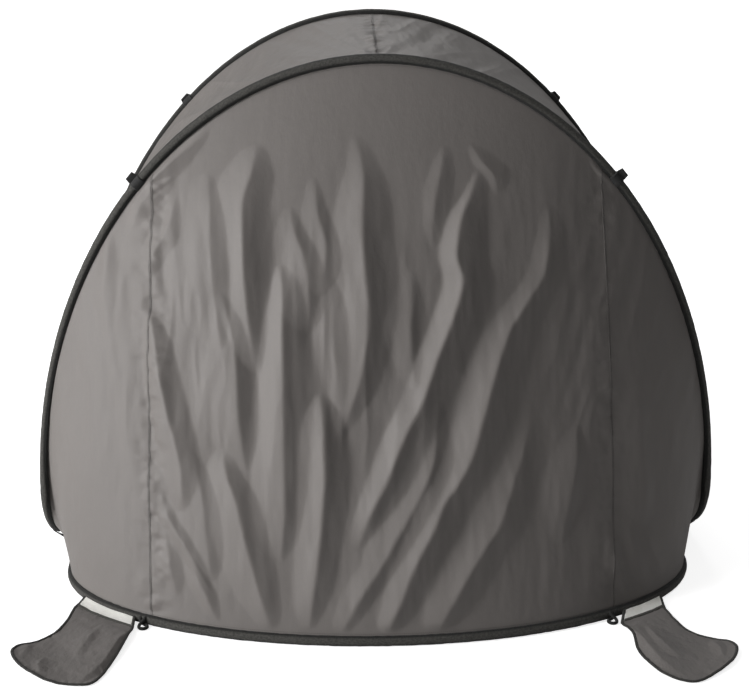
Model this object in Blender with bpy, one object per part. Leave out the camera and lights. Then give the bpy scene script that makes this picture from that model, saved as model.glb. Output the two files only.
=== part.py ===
"""Pop-up sun shelter: two sprung hoops in fabric sleeves that cross low down at each side.

+Z is up and Z = 0 is the ground. The open front faces -Y and the rear wall is towards +Y.
Left is +X, the left hand of someone who sits inside and looks out.
"""
import math

import bmesh
import bpy
import numpy as np

# Each hoop is an upright half ellipse (its arch), a knee at each side, and a half ellipse
# on the ground. The rear arch runs on into the front edge of the floor, and the front arch
# into the rear edge.
SLEEVE_RADIUS = 0.0105
SPRING_HEIGHT = 0.17
REAR_ARCH_Y = 0.10
REAR_ARCH_HALF_WIDTH = 0.739
REAR_ARCH_TOP = 1.127
FRONT_FLOOR_Y = -0.16
FRONT_FLOOR_HALF_WIDTH = 0.72
FRONT_FLOOR_REACH = 0.38
FRONT_ARCH_Y = -0.30
FRONT_ARCH_HALF_WIDTH = 0.703
FRONT_ARCH_TOP = 1.175
REAR_FLOOR_Y = 0.141
REAR_FLOOR_HALF_WIDTH = 0.682
REAR_FLOOR_REACH = 0.371
CROSSING_Y = 0.0

# Fabric, and the gap that neighbouring pieces keep.
CLOTH = 0.0025
SEAM_CLOTH = 0.0045
SEAM_WIDTH = 0.006
GAP = 0.0004
EDGE_GAP = 0.0009
SEAM_GAP = 0.0008
FLOOR_CLOTH = 0.003
WALL_BULGE = 0.018
ROOF_SAG = 0.008
FADE_POWER = 0.7

# Where the wall's seams meet the rear arch and the floor, as half widths.
SEAM_TOP_X = 0.475
SEAM_FOOT_X = 0.485

# How finely curves are cut: points read from each formula, segments beside each seam,
# between the seams, and up the cloth, and the wall's columns to each segment. Edges flatter
# than SMOOTH_DEGREES are shaded round.
CURVE_SAMPLES = 200
GORE_STEPS = 12
CENTRE_STEPS = 24
SLEEVE_SIDES = 8
WALL_ROWS = 22
ROOF_ROWS = 4
WALL_COLUMNS = 2
SMOOTH_DEGREES = 40.0
# Points nearer to each other than this are one.
MERGE_DISTANCE = 1e-6

# The wall's main folds. Each is read as (across, height, millimetres that it stands out) down
# its crest, then the widths of its left flank at the top and the foot, and those of its right
# flank. Crests and feet are rounded a little, and near the hoops the cloth is held flat.
WALL_FOLDS = (
    (((0.250, 0.96, 0), (0.262, 0.90, 12), (0.277, 0.85, 17), (0.278, 0.78, 20),
      (0.276, 0.70, 20), (0.270, 0.62, 16), (0.262, 0.56, 8), (0.255, 0.52, 0)),
     (0.08, 0.05), (0.060, 0.035)),
    (((0.208, 0.73, 0), (0.201, 0.68, 10), (0.200, 0.60, 18), (0.200, 0.50, 21),
      (0.200, 0.40, 20), (0.200, 0.30, 16), (0.204, 0.22, 9), (0.212, 0.16, 0)),
     (0.03, 0.09), (0.060, 0.045)),
    (((0.126, 0.485, 0), (0.122, 0.44, 13), (0.120, 0.38, 20), (0.120, 0.30, 20),
      (0.128, 0.22, 17), (0.138, 0.14, 14), (0.148, 0.08, 9), (0.156, 0.03, 0)),
     (0.04, 0.06), (0.045, 0.045)),
    (((0.050, 0.98, 0), (0.036, 0.92, 6), (0.034, 0.87, 13), (0.037, 0.80, 18),
      (0.032, 0.72, 20), (0.030, 0.64, 20), (0.034, 0.57, 17), (0.050, 0.50, 12),
      (0.072, 0.44, 5), (0.086, 0.40, 0)),
     (0.06, 0.07), (0.070, 0.045)),
    (((0.480, 0.625, 0), (0.468, 0.58, 10), (0.460, 0.54, 13), (0.452, 0.49, 16),
      (0.438, 0.43, 17), (0.425, 0.38, 17), (0.414, 0.33, 14), (0.412, 0.28, 8),
      (0.416, 0.24, 0)),
     (0.030, 0.05), (0.035, 0.040)),
    (((0.327, 0.37, 0), (0.318, 0.32, 10), (0.298, 0.27, 16), (0.282, 0.20, 17),
      (0.266, 0.14, 16), (0.252, 0.09, 12), (0.240, 0.05, 6), (0.234, 0.02, 0)),
     (0.06, 0.06), (0.040, 0.045)),
    (((-0.205, 0.91, 0), (-0.185, 0.86, 6), (-0.165, 0.82, 13), (-0.155, 0.77, 17),
      (-0.153, 0.74, 18), (-0.163, 0.70, 20), (-0.155, 0.66, 21), (-0.132, 0.60, 22),
      (-0.110, 0.55, 21), (-0.092, 0.50, 20), (-0.075, 0.46, 20), (-0.047, 0.41, 20),
      (-0.020, 0.35, 18), (0.002, 0.30, 16), (0.030, 0.25, 10), (0.054, 0.19, 0)),
     (0.045, 0.060), (0.075, 0.050)),
    (((-0.352, 0.83, 0), (-0.350, 0.77, 5), (-0.335, 0.70, 9), (-0.300, 0.65, 12),
      (-0.262, 0.60, 16), (-0.240, 0.55, 18), (-0.222, 0.50, 20), (-0.200, 0.43, 21),
      (-0.178, 0.36, 21), (-0.150, 0.31, 21), (-0.120, 0.27, 20), (-0.098, 0.22, 20),
      (-0.072, 0.175, 18), (-0.050, 0.13, 17), (-0.030, 0.08, 13), (-0.012, 0.045, 8),
      (-0.004, 0.02, 0)),
     (0.060, 0.045), (0.080, 0.055)),
    (((-0.305, 0.46, 0), (-0.290, 0.38, 6), (-0.262, 0.30, 12), (-0.232, 0.22, 14),
      (-0.195, 0.17, 14), (-0.150, 0.10, 14), (-0.120, 0.05, 9), (-0.108, 0.02, 0)),
     (0.070, 0.060), (0.060, 0.050)),
)
MILLIMETRE = 0.001
CREST_ROUND = 0.006
FOOT_ROUND = 0.12
FOLD_STEPS = 8
HELD_SHARE = 0.03
HELD_STATIONS = 2.0

# How many steps from a crossing the cloth of the wall and of the roof begins.
WALL_START = 0.5
ROOF_START = 1.0

# Sand pockets: the span of the mouth on the rear floor edge in degrees round that ellipse,
# how many more degrees round the far side of the tape lies, since the pockets hang straight
# back, and where on the edge the outline is measured from. The outline has the points of the
# free part, from the outer side of the mouth round to the inner one, as (along the edge,
# away from the edge). The two pockets are alike but lie as they fell.
TAPE_WIDTH = 0.024
TAPE_THICKNESS = 0.0022
HEM_WIDTH = 0.007
HEM_THICKNESS = 0.0034
POCKET_MOUTH_DEGREES = {"left": (23.8, 40.6), "right": (30.8, 42.3)}
POCKET_LEAN_DEGREES = {"left": 1.5, "right": 2.4}
POCKET_DEGREES = {"left": 35.0, "right": 36.8}
POCKET_MOUTH = 0.047
POCKET_OUTLINE = {
    "left": (
        (0.058, 0.088),
        (0.040, 0.141),
        (0.045, 0.195),
        (0.056, 0.228),
        (0.040, 0.259),
        (-0.010, 0.282),
        (-0.085, 0.288),
        (-0.145, 0.266),
        (-0.166, 0.235),
        (-0.140, 0.160),
        (-0.105, 0.088),
    ),
    "right": (
        (0.008, 0.088),
        (-0.007, 0.141),
        (0.009, 0.192),
        (0.025, 0.225),
        (0.010, 0.256),
        (-0.040, 0.283),
        (-0.120, 0.293),
        (-0.160, 0.280),
        (-0.173, 0.225),
        (-0.150, 0.143),
        (-0.112, 0.088),
    ),
}
POCKET_EDGE = 0.0035
POCKET_LOFT = 0.010
# Rings of the pocket's upper face: share of the way out to its edge, share of the loft.
POCKET_RINGS = ((1.0, 0.0), (0.86, 0.55), (0.5, 0.92))
BINDING_RADIUS = 0.0024
BINDING_SIDES = 6
MOUTH_STEPS = 6
OUTLINE_STEPS = 4

# Peg loops beside the floor edges, and webbing tabs on the arches.
PEG_LOOP_RADIUS = 0.0085
PEG_CORD_RADIUS = 0.0022
PEG_LOOP_SIDES = 16
REAR_PEG_DEGREES = {"left": 44.2, "right": 46.8}
FRONT_PEG_DEGREES = 40.0
TAB_LENGTH = 0.026
TAB_THICKNESS = 0.006
REAR_TAB_DEGREES = 42.9
REAR_TAB_HEIGHT = 0.014
FRONT_TAB_DEGREES = 36.7
FRONT_TAB_HEIGHT = 0.006
TIE_LENGTH = 0.018
TIE_THICKNESS = 0.004
TIE_GAP = 0.003
# Share of a tab's height that is cut off at its top corners.
CORNER_CUT = 0.25

SIDES = {"left": 1, "right": -1}
# A direction that no bar here runs along, from which the sides of each bar are turned.
MOSTLY_UP = np.array([0.001, 0.001, 1.0])

COLOURS = {
    "sleeve": ((0.030, 0.029, 0.028, 1.0), 0.75),
    "wall_cloth": ((0.165, 0.152, 0.145, 1.0), 0.62),
    "groundsheet": ((0.060, 0.058, 0.056, 1.0), 0.50),
    "seam": ((0.075, 0.070, 0.066, 1.0), 0.70),
    "pocket_cloth": ((0.150, 0.140, 0.132, 1.0), 0.65),
    "binding": ((0.022, 0.021, 0.020, 1.0), 0.80),
    "tape": ((0.780, 0.760, 0.700, 1.0), 0.90),
    "webbing": ((0.020, 0.020, 0.020, 1.0), 0.70),
}


def clear_scene():
    """Removes every object, so that the model stands alone."""
    for obj in list(bpy.data.objects):
        bpy.data.objects.remove(obj, do_unlink=True)


def material(name):
    """One Principled material a finish, shared by the pieces that have it."""
    found = bpy.data.materials.get(name)
    if found:
        return found
    colour, roughness = COLOURS[name]
    made = bpy.data.materials.new(name)
    made.use_nodes = True
    shader = made.node_tree.nodes["Principled BSDF"]
    shader.inputs["Base Color"].default_value = colour
    shader.inputs["Roughness"].default_value = roughness
    shader.inputs["Metallic"].default_value = 0.0
    return made


def add_object(name, points, faces, finish, smooth=True):
    """Makes one closed mesh object from points and faces, with its faces turned outwards."""
    mesh = bpy.data.meshes.new(name)
    mesh.from_pydata([tuple(map(float, point)) for point in points], [], faces)
    shape = bmesh.new()
    shape.from_mesh(mesh)
    bmesh.ops.remove_doubles(shape, verts=shape.verts, dist=MERGE_DISTANCE)
    bmesh.ops.recalc_face_normals(shape, faces=shape.faces)
    shape.to_mesh(mesh)
    shape.free()
    mesh.materials.append(material(finish))
    if smooth:
        mesh.shade_smooth()
        mesh.set_sharp_from_angle(angle=math.radians(SMOOTH_DEGREES))
    obj = bpy.data.objects.new(name, mesh)
    bpy.context.scene.collection.objects.link(obj)
    return obj


def unit(vectors):
    """Vectors cut to length 1, row by row."""
    return vectors / np.linalg.norm(vectors, axis=-1, keepdims=True)


def tangents(points):
    """Direction of a line of points at each of them."""
    return unit(np.gradient(points, axis=0))


def across(vectors, along):
    """What is left of vectors when their share along a direction is taken out, at length 1."""
    share = (vectors * along).sum(axis=-1, keepdims=True)
    return unit(vectors - share * along)


def spaced(points, steps):
    """The same line of points, cut anew into equal steps along its length."""
    lengths = np.linalg.norm(np.diff(points, axis=0), axis=1)
    travelled = np.concatenate([[0.0], np.cumsum(lengths)])
    wanted = np.linspace(0.0, travelled[-1], steps + 1)
    return np.stack([np.interp(wanted, travelled, points[:, axis]) for axis in range(3)], axis=1)


def arch_half(y, half_width, top, start_degrees, end_degrees):
    """Part of an upright quarter ellipse on the left, its angle counted from the top."""
    angle = np.radians(np.linspace(start_degrees, end_degrees, CURVE_SAMPLES))
    x = half_width * np.sin(angle)
    z = SPRING_HEIGHT + (top - SPRING_HEIGHT) * np.cos(angle)
    return np.stack([x, np.full_like(x, y), z], axis=1)


def knee_half(arch, floor):
    """Quarter ellipse at the left side, from the foot of an arch down onto the ground.

    An arch and a floor edge are each given as (y, half width, top or reach). The knee also
    runs from the one half width to the other.
    """
    angle = np.radians(np.linspace(0.0, 90.0, CURVE_SAMPLES))
    onward = 1.0 - np.cos(angle)
    x = arch[1] + (floor[1] - arch[1]) * onward
    y = arch[0] + (floor[0] - arch[0]) * onward
    z = SLEEVE_RADIUS + (SPRING_HEIGHT - SLEEVE_RADIUS) * (1.0 - np.sin(angle))
    return np.stack([x, y, z], axis=1)


def floor_half(y, half_width, reach, start_degrees, end_degrees):
    """Part of a quarter ellipse on the ground at the left, its angle counted from the side."""
    angle = np.radians(np.linspace(start_degrees, end_degrees, CURVE_SAMPLES))
    x = half_width * np.cos(angle)
    return np.stack([x, y + reach * np.sin(angle), np.full_like(x, SLEEVE_RADIUS)], axis=1)


def split_knee(knee):
    """The knee's points above the crossing and below it, both ending on the crossing."""
    order = np.argsort(knee[:, 1])
    crossing = np.array([np.interp(CROSSING_Y, knee[order, 1], knee[order, axis])
                         for axis in range(3)])
    above = np.sign(knee[:, 1] - CROSSING_Y) == np.sign(knee[0, 1] - CROSSING_Y)
    return np.vstack([knee[above], crossing]), np.vstack([crossing, knee[~above]])


def run(side_part, centre_part):
    """A whole run from left to right: left side, middle, and both again mirrored."""
    side = spaced(side_part, GORE_STEPS)
    centre = spaced(centre_part, CENTRE_STEPS // 2)
    half = np.vstack([side, centre[1:]])
    mirrored = half[-2::-1] * (-1, 1, 1)
    return np.vstack([half, mirrored])


def hoop_runs():
    """The four runs of hoop between the crossings, each cut into the same number of steps."""
    rear_arch = (REAR_ARCH_Y, REAR_ARCH_HALF_WIDTH, REAR_ARCH_TOP)
    front_arch = (FRONT_ARCH_Y, FRONT_ARCH_HALF_WIDTH, FRONT_ARCH_TOP)
    rear_floor = (REAR_FLOOR_Y, REAR_FLOOR_HALF_WIDTH, REAR_FLOOR_REACH)
    front_floor = (FRONT_FLOOR_Y, FRONT_FLOOR_HALF_WIDTH, -FRONT_FLOOR_REACH)
    rear_upper, rear_lower = split_knee(knee_half(rear_arch, front_floor))
    front_upper, front_lower = split_knee(knee_half(front_arch, rear_floor))
    seam_angle = math.degrees(math.asin(SEAM_TOP_X / REAR_ARCH_HALF_WIDTH))
    foot_angle = math.degrees(math.acos(SEAM_FOOT_X / REAR_FLOOR_HALF_WIDTH))
    return {
        "rear_arch": run(np.vstack([rear_upper[::-1], arch_half(*rear_arch, 90.0, seam_angle)]),
                         arch_half(*rear_arch, seam_angle, 0.0)),
        "front_arch": run(np.vstack([front_upper[::-1], arch_half(*front_arch, 90.0, seam_angle)]),
                          arch_half(*front_arch, seam_angle, 0.0)),
        "rear_floor": run(np.vstack([front_lower, floor_half(*rear_floor, 0.0, foot_angle)]),
                          floor_half(*rear_floor, foot_angle, 90.0)),
        "front_floor": run(np.vstack([rear_lower, floor_half(*front_floor, 0.0, foot_angle)]),
                           floor_half(*front_floor, foot_angle, 90.0)),
    }


def tube(name, path, radius, sides, finish, ends=None):
    """A round bar along a line of points, closed by a flat face at each end.

    The end faces are square to the bar, or to the directions in ends where these are given.
    """
    along = tangents(path)
    if ends is not None:
        along[0], along[-1] = ends
    first = across(np.broadcast_to(MOSTLY_UP, along.shape), along)
    second = np.cross(along, first)
    turn = 2 * math.pi * np.arange(sides) / sides
    rings = (path[:, None] + radius * (np.cos(turn)[:, None] * first[:, None]
                                       + np.sin(turn)[:, None] * second[:, None]))
    faces = [tuple(range(sides)), tuple(range((len(path) - 1) * sides, len(path) * sides))]
    for ring in range(len(path) - 1):
        for side in range(sides):
            here = ring * sides + side
            nxt = ring * sides + (side + 1) % sides
            faces.append((here, nxt, nxt + sides, here + sides))
    return add_object(name, rings.reshape(-1, 3), faces, finish)


def sheet(name, grid, thickness, finish):
    """A closed skin round a grid of points, half its thickness to each side of them."""
    rows, columns = grid.shape[:2]
    along_rows = np.gradient(grid, axis=0)
    along_columns = np.gradient(grid, axis=1)
    normals = unit(np.cross(along_rows, along_columns))
    half = normals * thickness / 2
    points = np.concatenate([(grid + half).reshape(-1, 3), (grid - half).reshape(-1, 3)])
    under = rows * columns
    faces = []
    for row in range(rows - 1):
        for column in range(columns - 1):
            corner = row * columns + column
            quad = (corner, corner + 1, corner + columns + 1, corner + columns)
            faces.append(quad)
            faces.append(tuple(point + under for point in quad[::-1]))
    border = ([(0, column) for column in range(columns - 1)]
              + [(row, columns - 1) for row in range(rows - 1)]
              + [(rows - 1, column) for column in range(columns - 1, 0, -1)]
              + [(row, 0) for row in range(rows - 1, 0, -1)])
    ring = [row * columns + column for row, column in border]
    for here, nxt in zip(ring, ring[1:] + ring[:1]):
        faces.append((nxt, here, here + under, nxt + under))
    return add_object(name, points, faces, finish)


def edge_beside(line, towards, clearance):
    """The line moved sideways, off its sleeve, towards the cloth that hangs from it."""
    return line + clearance * across(towards - line, tangents(line))


def fold_height(x, z, crest, left, right):
    """How far one fold stands out, at points across and up the wall.

    At each height the fold falls evenly from its crest, over one width to the left and another
    to the right. Its crest and its feet are rounded.
    """
    line = through(crest, FOLD_STEPS)[::-1]
    middle = np.interp(z, line[:, 1], line[:, 0])
    rise = np.interp(z, line[:, 1], line[:, 2]).clip(0.0) * MILLIMETRE
    top, foot = crest[0][1], crest[-1][1]
    down = ((top - z) / (top - foot)).clip(0.0, 1.0)
    width = np.where(x > middle, left[0] + (left[1] - left[0]) * down,
                     right[0] + (right[1] - right[0]) * down)
    away = np.sqrt((x - middle) ** 2 + CREST_ROUND ** 2) - CREST_ROUND
    left_over = 1.0 - away / width
    return rise * 0.5 * (left_over + np.sqrt(left_over ** 2 + FOOT_ROUND ** 2))


def held(share, reach):
    """From 0 at an edge to 1 a little way in, smoothly."""
    inside = (share / reach).clip(0.0, 1.0)
    return inside * inside * (3.0 - 2.0 * inside)


def stretch(top_line, foot_line, first, last, rows, bulge, columns=1, folds=()):
    """A grid of cloth between two hoop runs, from one station to another along them.

    Each column is a straight line from run to run, pushed out by a half sine of its length.
    The push fades towards the crossings, where the cloth is narrow, as a power of a half sine.
    Folds stand out from that, and die away towards the hoops.
    """
    clearance = SLEEVE_RADIUS + EDGE_GAP
    upper = edge_beside(top_line, foot_line, clearance)
    lower = edge_beside(foot_line, top_line, clearance)
    between = np.arange(math.floor(first * columns) + 1, math.ceil(last * columns)) / columns
    stations = np.concatenate([[first], between, [last]])
    count = np.arange(len(upper))
    top = np.stack([np.interp(stations, count, upper[:, axis]) for axis in range(3)], axis=1)
    foot = np.stack([np.interp(stations, count, lower[:, axis]) for axis in range(3)], axis=1)
    down = np.linspace(0.0, 1.0, rows + 1)[None, :, None]
    grid = top[:, None] * (1.0 - down) + foot[:, None] * down
    outward = unit(np.cross(unit(foot - top), tangents((top + foot) / 2)))[:, None]
    fade = np.sin(math.pi * stations / (len(upper) - 1)) ** FADE_POWER
    grid = grid + bulge * fade[:, None, None] * np.sin(math.pi * down) * outward
    height = sum((fold_height(grid[..., 0], grid[..., 2], *fold) for fold in folds),
                 np.zeros(grid.shape[:2]))
    from_end = np.minimum(stations, len(upper) - 1 - stations)
    edge = np.minimum(down, 1.0 - down)[..., 0]
    height = height * held(edge, HELD_SHARE) * held(from_end, HELD_STATIONS)[:, None]
    return grid + height[..., None] * outward


def plate(name, outline, bottom, top, finish):
    """A flat plate from an outline of (x, y) points."""
    count = len(outline)
    points = [(x, y, bottom) for x, y in outline] + [(x, y, top) for x, y in outline]
    faces = [tuple(range(count))[::-1], tuple(range(count, 2 * count))]
    for here in range(count):
        nxt = (here + 1) % count
        faces.append((here, nxt, nxt + count, here + count))
    return add_object(name, points, faces, finish, smooth=False)


def make_sleeves(runs):
    """The four lengths of sleeve. At a crossing an arch meets its floor edge, GAP apart."""
    for arch, floor in (("rear_arch", "front_floor"), ("front_arch", "rear_floor")):
        upper, lower = runs[arch].copy(), runs[floor].copy()
        left = unit(lower[1] - upper[1])
        right = unit(lower[-2] - upper[-2])
        for end, onward in ((0, left), (-1, right)):
            upper[end] -= onward * GAP / 2
            lower[end] += onward * GAP / 2
        tube(f"{arch}_sleeve", upper, SLEEVE_RADIUS, SLEEVE_SIDES, "sleeve", (-left, right))
        tube(f"{floor}_sleeve", lower, SLEEVE_RADIUS, SLEEVE_SIDES, "sleeve", (left, -right))


def make_wall(runs):
    """Rear wall: a wide centre panel, a gore at each side, and the seams between them."""
    upper, lower = runs["rear_arch"], runs["rear_floor"]
    step = np.linalg.norm(lower[GORE_STEPS + 1] - lower[GORE_STEPS])
    half_seam = SEAM_WIDTH / 2 / step
    apart = (SEAM_WIDTH / 2 + SEAM_GAP) / step
    last = 2 * GORE_STEPS + CENTRE_STEPS
    left_seam, right_seam = GORE_STEPS, GORE_STEPS + CENTRE_STEPS
    pieces = (
        ("rear_gore_left", WALL_START, left_seam - apart, CLOTH, "wall_cloth"),
        ("rear_seam_left", left_seam - half_seam, left_seam + half_seam, SEAM_CLOTH, "seam"),
        ("rear_wall", left_seam + apart, right_seam - apart, CLOTH, "wall_cloth"),
        ("rear_seam_right", right_seam - half_seam, right_seam + half_seam, SEAM_CLOTH, "seam"),
        ("rear_gore_right", right_seam + apart, last - WALL_START, CLOTH, "wall_cloth"),
    )
    for name, first, end, thickness, finish in pieces:
        grid = stretch(upper, lower, first, end, WALL_ROWS, WALL_BULGE, WALL_COLUMNS, WALL_FOLDS)
        sheet(name, grid, thickness, finish)


def make_roof(runs):
    """Roof band between the arches: two halves with a seam over the middle."""
    rear, front = runs["rear_arch"], runs["front_arch"]
    middle = GORE_STEPS + CENTRE_STEPS // 2
    step = np.linalg.norm(rear[middle + 1] - rear[middle])
    half_seam = SEAM_WIDTH / 2 / step
    apart = (SEAM_WIDTH / 2 + SEAM_GAP) / step
    pieces = (
        ("roof_left", ROOF_START, middle - apart, CLOTH, "wall_cloth"),
        ("roof_seam", middle - half_seam, middle + half_seam, SEAM_CLOTH, "seam"),
        ("roof_right", middle + apart, 2 * middle - ROOF_START, CLOTH, "wall_cloth"),
    )
    for name, first, end, thickness, finish in pieces:
        sheet(name, stretch(front, rear, first, end, ROOF_ROWS, -ROOF_SAG), thickness, finish)


def make_groundsheet(runs):
    """Floor cloth inside the floor edges, notched where one hoop edge gives way to the other."""
    front, rear = runs["front_floor"][:, :2], runs["rear_floor"][:, :2]
    centre = np.vstack([front, rear]).mean(axis=0)
    clearance = SLEEVE_RADIUS + GAP
    outline = np.vstack([inset(front, clearance, centre), inset(rear, clearance, centre)[::-1]])
    plate("groundsheet", outline, 0.0, FLOOR_CLOTH, "groundsheet")


def edge_frame(degrees, side):
    """A point on the rear floor edge and the directions along it, to the side, and away."""
    angle = math.radians(degrees)
    point = np.array([REAR_FLOOR_HALF_WIDTH * math.cos(angle),
                      REAR_FLOOR_Y + REAR_FLOOR_REACH * math.sin(angle)])
    away = unit(np.array([math.cos(angle) / REAR_FLOOR_HALF_WIDTH,
                          math.sin(angle) / REAR_FLOOR_REACH]))
    along = np.array([away[1], -away[0]])
    mirror = np.array([side, 1.0])
    return point * mirror, along * mirror, away * mirror


def beside_edge(side_name, share, distance):
    """A point off the rear floor edge, at a share of the way from the mouth's outer end.

    The lines of equal share lean inwards as the distance from the edge grows.
    """
    low, high = POCKET_MOUTH_DEGREES[side_name]
    lean = POCKET_LEAN_DEGREES[side_name] * (distance - SLEEVE_RADIUS) / TAPE_WIDTH
    point, _, away = edge_frame(low + (high - low) * share + lean, SIDES[side_name])
    return point + distance * away


def band(name, side_name, inner, outer, thickness, finish):
    """A flat strip on the ground along the pocket's mouth, between two distances."""
    shares = np.linspace(0.0, 1.0, MOUTH_STEPS + 1)
    near = [beside_edge(side_name, share, inner) for share in shares]
    far = [beside_edge(side_name, share, outer) for share in shares]
    plate(name, near + far[::-1], 0.0, thickness, finish)


def through(points, steps):
    """A smooth line through the points: Catmull-Rom curves, a few steps between each two."""
    points = np.asarray(points)
    ends = np.vstack([2 * points[0] - points[1], points, 2 * points[-1] - points[-2]])
    share = np.linspace(0.0, 1.0, steps, endpoint=False)[:, None]
    pieces = []
    for first in range(len(points) - 1):
        before, here, nxt, after = ends[first:first + 4]
        pieces.append(here + 0.5 * share * (nxt - before
                      + share * (2 * before - 5 * here + 4 * nxt - after
                      + share * (3 * here - before - 3 * nxt + after))))
    return np.vstack(pieces + [points[-1:]])


def mouth_ends(side_name, distance):
    """Where the binding passes the outer and the inner end of the mouth, just clear of it."""
    ends = []
    for share, outward in ((0.0, SIDES[side_name]), (1.0, -SIDES[side_name])):
        point = beside_edge(side_name, share, distance)
        onward = unit(beside_edge(side_name, share, distance + TAPE_WIDTH) - point)
        sideways = outward * np.array([onward[1], -onward[0]])
        ends.append(point + (BINDING_RADIUS + 2 * GAP) * sideways)
    return ends


def pocket_outline(side_name):
    """The pocket's outline on the ground, from the outer corner of its mouth to the inner one."""
    point, along, away = edge_frame(POCKET_DEGREES[side_name], SIDES[side_name])
    local = np.array(POCKET_OUTLINE[side_name])
    free = point + local[:, :1] * along + local[:, 1:] * away
    outer, inner = mouth_ends(side_name, POCKET_MOUTH)
    return through(np.vstack([outer, free, inner]), OUTLINE_STEPS)


def inset(line, distance, centre):
    """A flat line moved sideways, towards the side on which the centre lies."""
    along = unit(np.gradient(line, axis=0))
    sideways = along[:, ::-1] * (1, -1)
    middle = len(line) // 2
    towards = np.sign(sideways[middle] @ (centre - line[middle]))
    return line + distance * towards * sideways


def make_pocket(side_name):
    """A sand pocket that lies on the ground: cloth, bound edge, hemmed mouth and pale tape."""
    tape_from = SLEEVE_RADIUS + GAP
    tape_to = tape_from + TAPE_WIDTH
    hem_from = tape_to + GAP
    hem_to = hem_from + HEM_WIDTH
    band(f"pocket_tape_{side_name}", side_name, tape_from, tape_to, TAPE_THICKNESS, "tape")
    band(f"pocket_hem_{side_name}", side_name, hem_from, hem_to, HEM_THICKNESS, "binding")
    outline = pocket_outline(side_name)
    centre = outline.mean(axis=0)
    mouth = [beside_edge(side_name, share, hem_to + GAP)
             for share in np.linspace(1.0, 0.0, MOUTH_STEPS + 1)[1:-1]]
    cloth_edge = np.vstack([inset(outline, BINDING_RADIUS + GAP, centre), mouth])
    count = len(cloth_edge)
    points = []
    for share, rise in POCKET_RINGS:
        flat = centre + share * (cloth_edge - centre)
        height = POCKET_EDGE + (POCKET_LOFT - POCKET_EDGE) * rise
        points += [(x, y, height) for x, y in flat]
    points += [(x, y, 0.0) for x, y in cloth_edge]
    points.append((*centre, POCKET_LOFT))
    crown = len(points) - 1
    base = len(POCKET_RINGS) * count
    faces = [tuple(range(base, base + count))[::-1]]
    for here in range(count):
        nxt = (here + 1) % count
        faces.append((base + here, base + nxt, nxt, here))
        for ring in range(len(POCKET_RINGS) - 1):
            low = ring * count
            faces.append((low + here, low + nxt, low + nxt + count, low + here + count))
        low = (len(POCKET_RINGS) - 1) * count
        faces.append((low + here, low + nxt, crown))
    add_object(f"sand_pocket_{side_name}", points, faces, "pocket_cloth")
    outer, inner = mouth_ends(side_name, SLEEVE_RADIUS + BINDING_RADIUS + GAP)
    flat = np.vstack([outer, outline, inner])
    path = np.column_stack([flat, np.full(len(flat), BINDING_RADIUS)])
    tube(f"pocket_binding_{side_name}", path, BINDING_RADIUS, BINDING_SIDES, "binding")


def make_peg_loop(name, centre):
    """A small ring of cord that lies on the ground beside the sleeve."""
    turn = 2 * math.pi * np.arange(PEG_LOOP_SIDES) / PEG_LOOP_SIDES
    tilt = 2 * math.pi * np.arange(BINDING_SIDES) / BINDING_SIDES
    reach = PEG_LOOP_RADIUS + PEG_CORD_RADIUS * np.cos(tilt)
    x = centre[0] + np.cos(turn)[:, None] * reach
    y = centre[1] + np.sin(turn)[:, None] * reach
    z = np.broadcast_to(PEG_CORD_RADIUS * (1.0 + np.sin(tilt)), x.shape)
    points = np.stack([x, y, z], axis=-1).reshape(-1, 3)
    faces = []
    for ring in range(PEG_LOOP_SIDES):
        for side in range(BINDING_SIDES):
            here = ring * BINDING_SIDES + side
            nxt = ring * BINDING_SIDES + (side + 1) % BINDING_SIDES
            after = BINDING_SIDES if ring < PEG_LOOP_SIDES - 1 else BINDING_SIDES - len(points)
            faces.append((here, nxt, nxt + after, here + after))
    add_object(name, points, faces, "webbing")


def make_peg_loops():
    """Four peg loops, one towards each corner of the floor."""
    stand_off = SLEEVE_RADIUS + PEG_LOOP_RADIUS + PEG_CORD_RADIUS + GAP
    for side_name, side in SIDES.items():
        point, _, away = edge_frame(REAR_PEG_DEGREES[side_name], side)
        make_peg_loop(f"rear_peg_loop_{side_name}", point + stand_off * away)
        angle = math.radians(FRONT_PEG_DEGREES)
        point = np.array([FRONT_FLOOR_HALF_WIDTH * math.cos(angle) * side,
                          FRONT_FLOOR_Y - FRONT_FLOOR_REACH * math.sin(angle)])
        away = unit(np.array([math.cos(angle) / FRONT_FLOOR_HALF_WIDTH * side,
                              -math.sin(angle) / FRONT_FLOOR_REACH]))
        make_peg_loop(f"front_peg_loop_{side_name}", point + stand_off * away)


def oriented_block(name, centre, long_way, high_way, sizes, finish):
    """A block with its length and height along given directions, and its top corners cut."""
    long_way = unit(np.asarray(long_way, float))
    high_way = unit(np.asarray(high_way, float))
    wide_way = np.cross(long_way, high_way)
    length, height, width = sizes
    cut = CORNER_CUT * min(height, length)
    half_length, half_height = length / 2, height / 2
    profile = (
        (-half_length, -half_height),
        (half_length, -half_height),
        (half_length, half_height - cut),
        (half_length - cut, half_height),
        (cut - half_length, half_height),
        (-half_length, half_height - cut),
    )
    points = []
    for side in (-width / 2, width / 2):
        for along, up in profile:
            points.append(centre + long_way * along + high_way * up + wide_way * side)
    count = len(profile)
    faces = [tuple(range(count))[::-1], tuple(range(count, 2 * count))]
    for here in range(count):
        nxt = (here + 1) % count
        faces.append((here, nxt, nxt + count, here + count))
    add_object(name, points, faces, finish, smooth=False)


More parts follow.
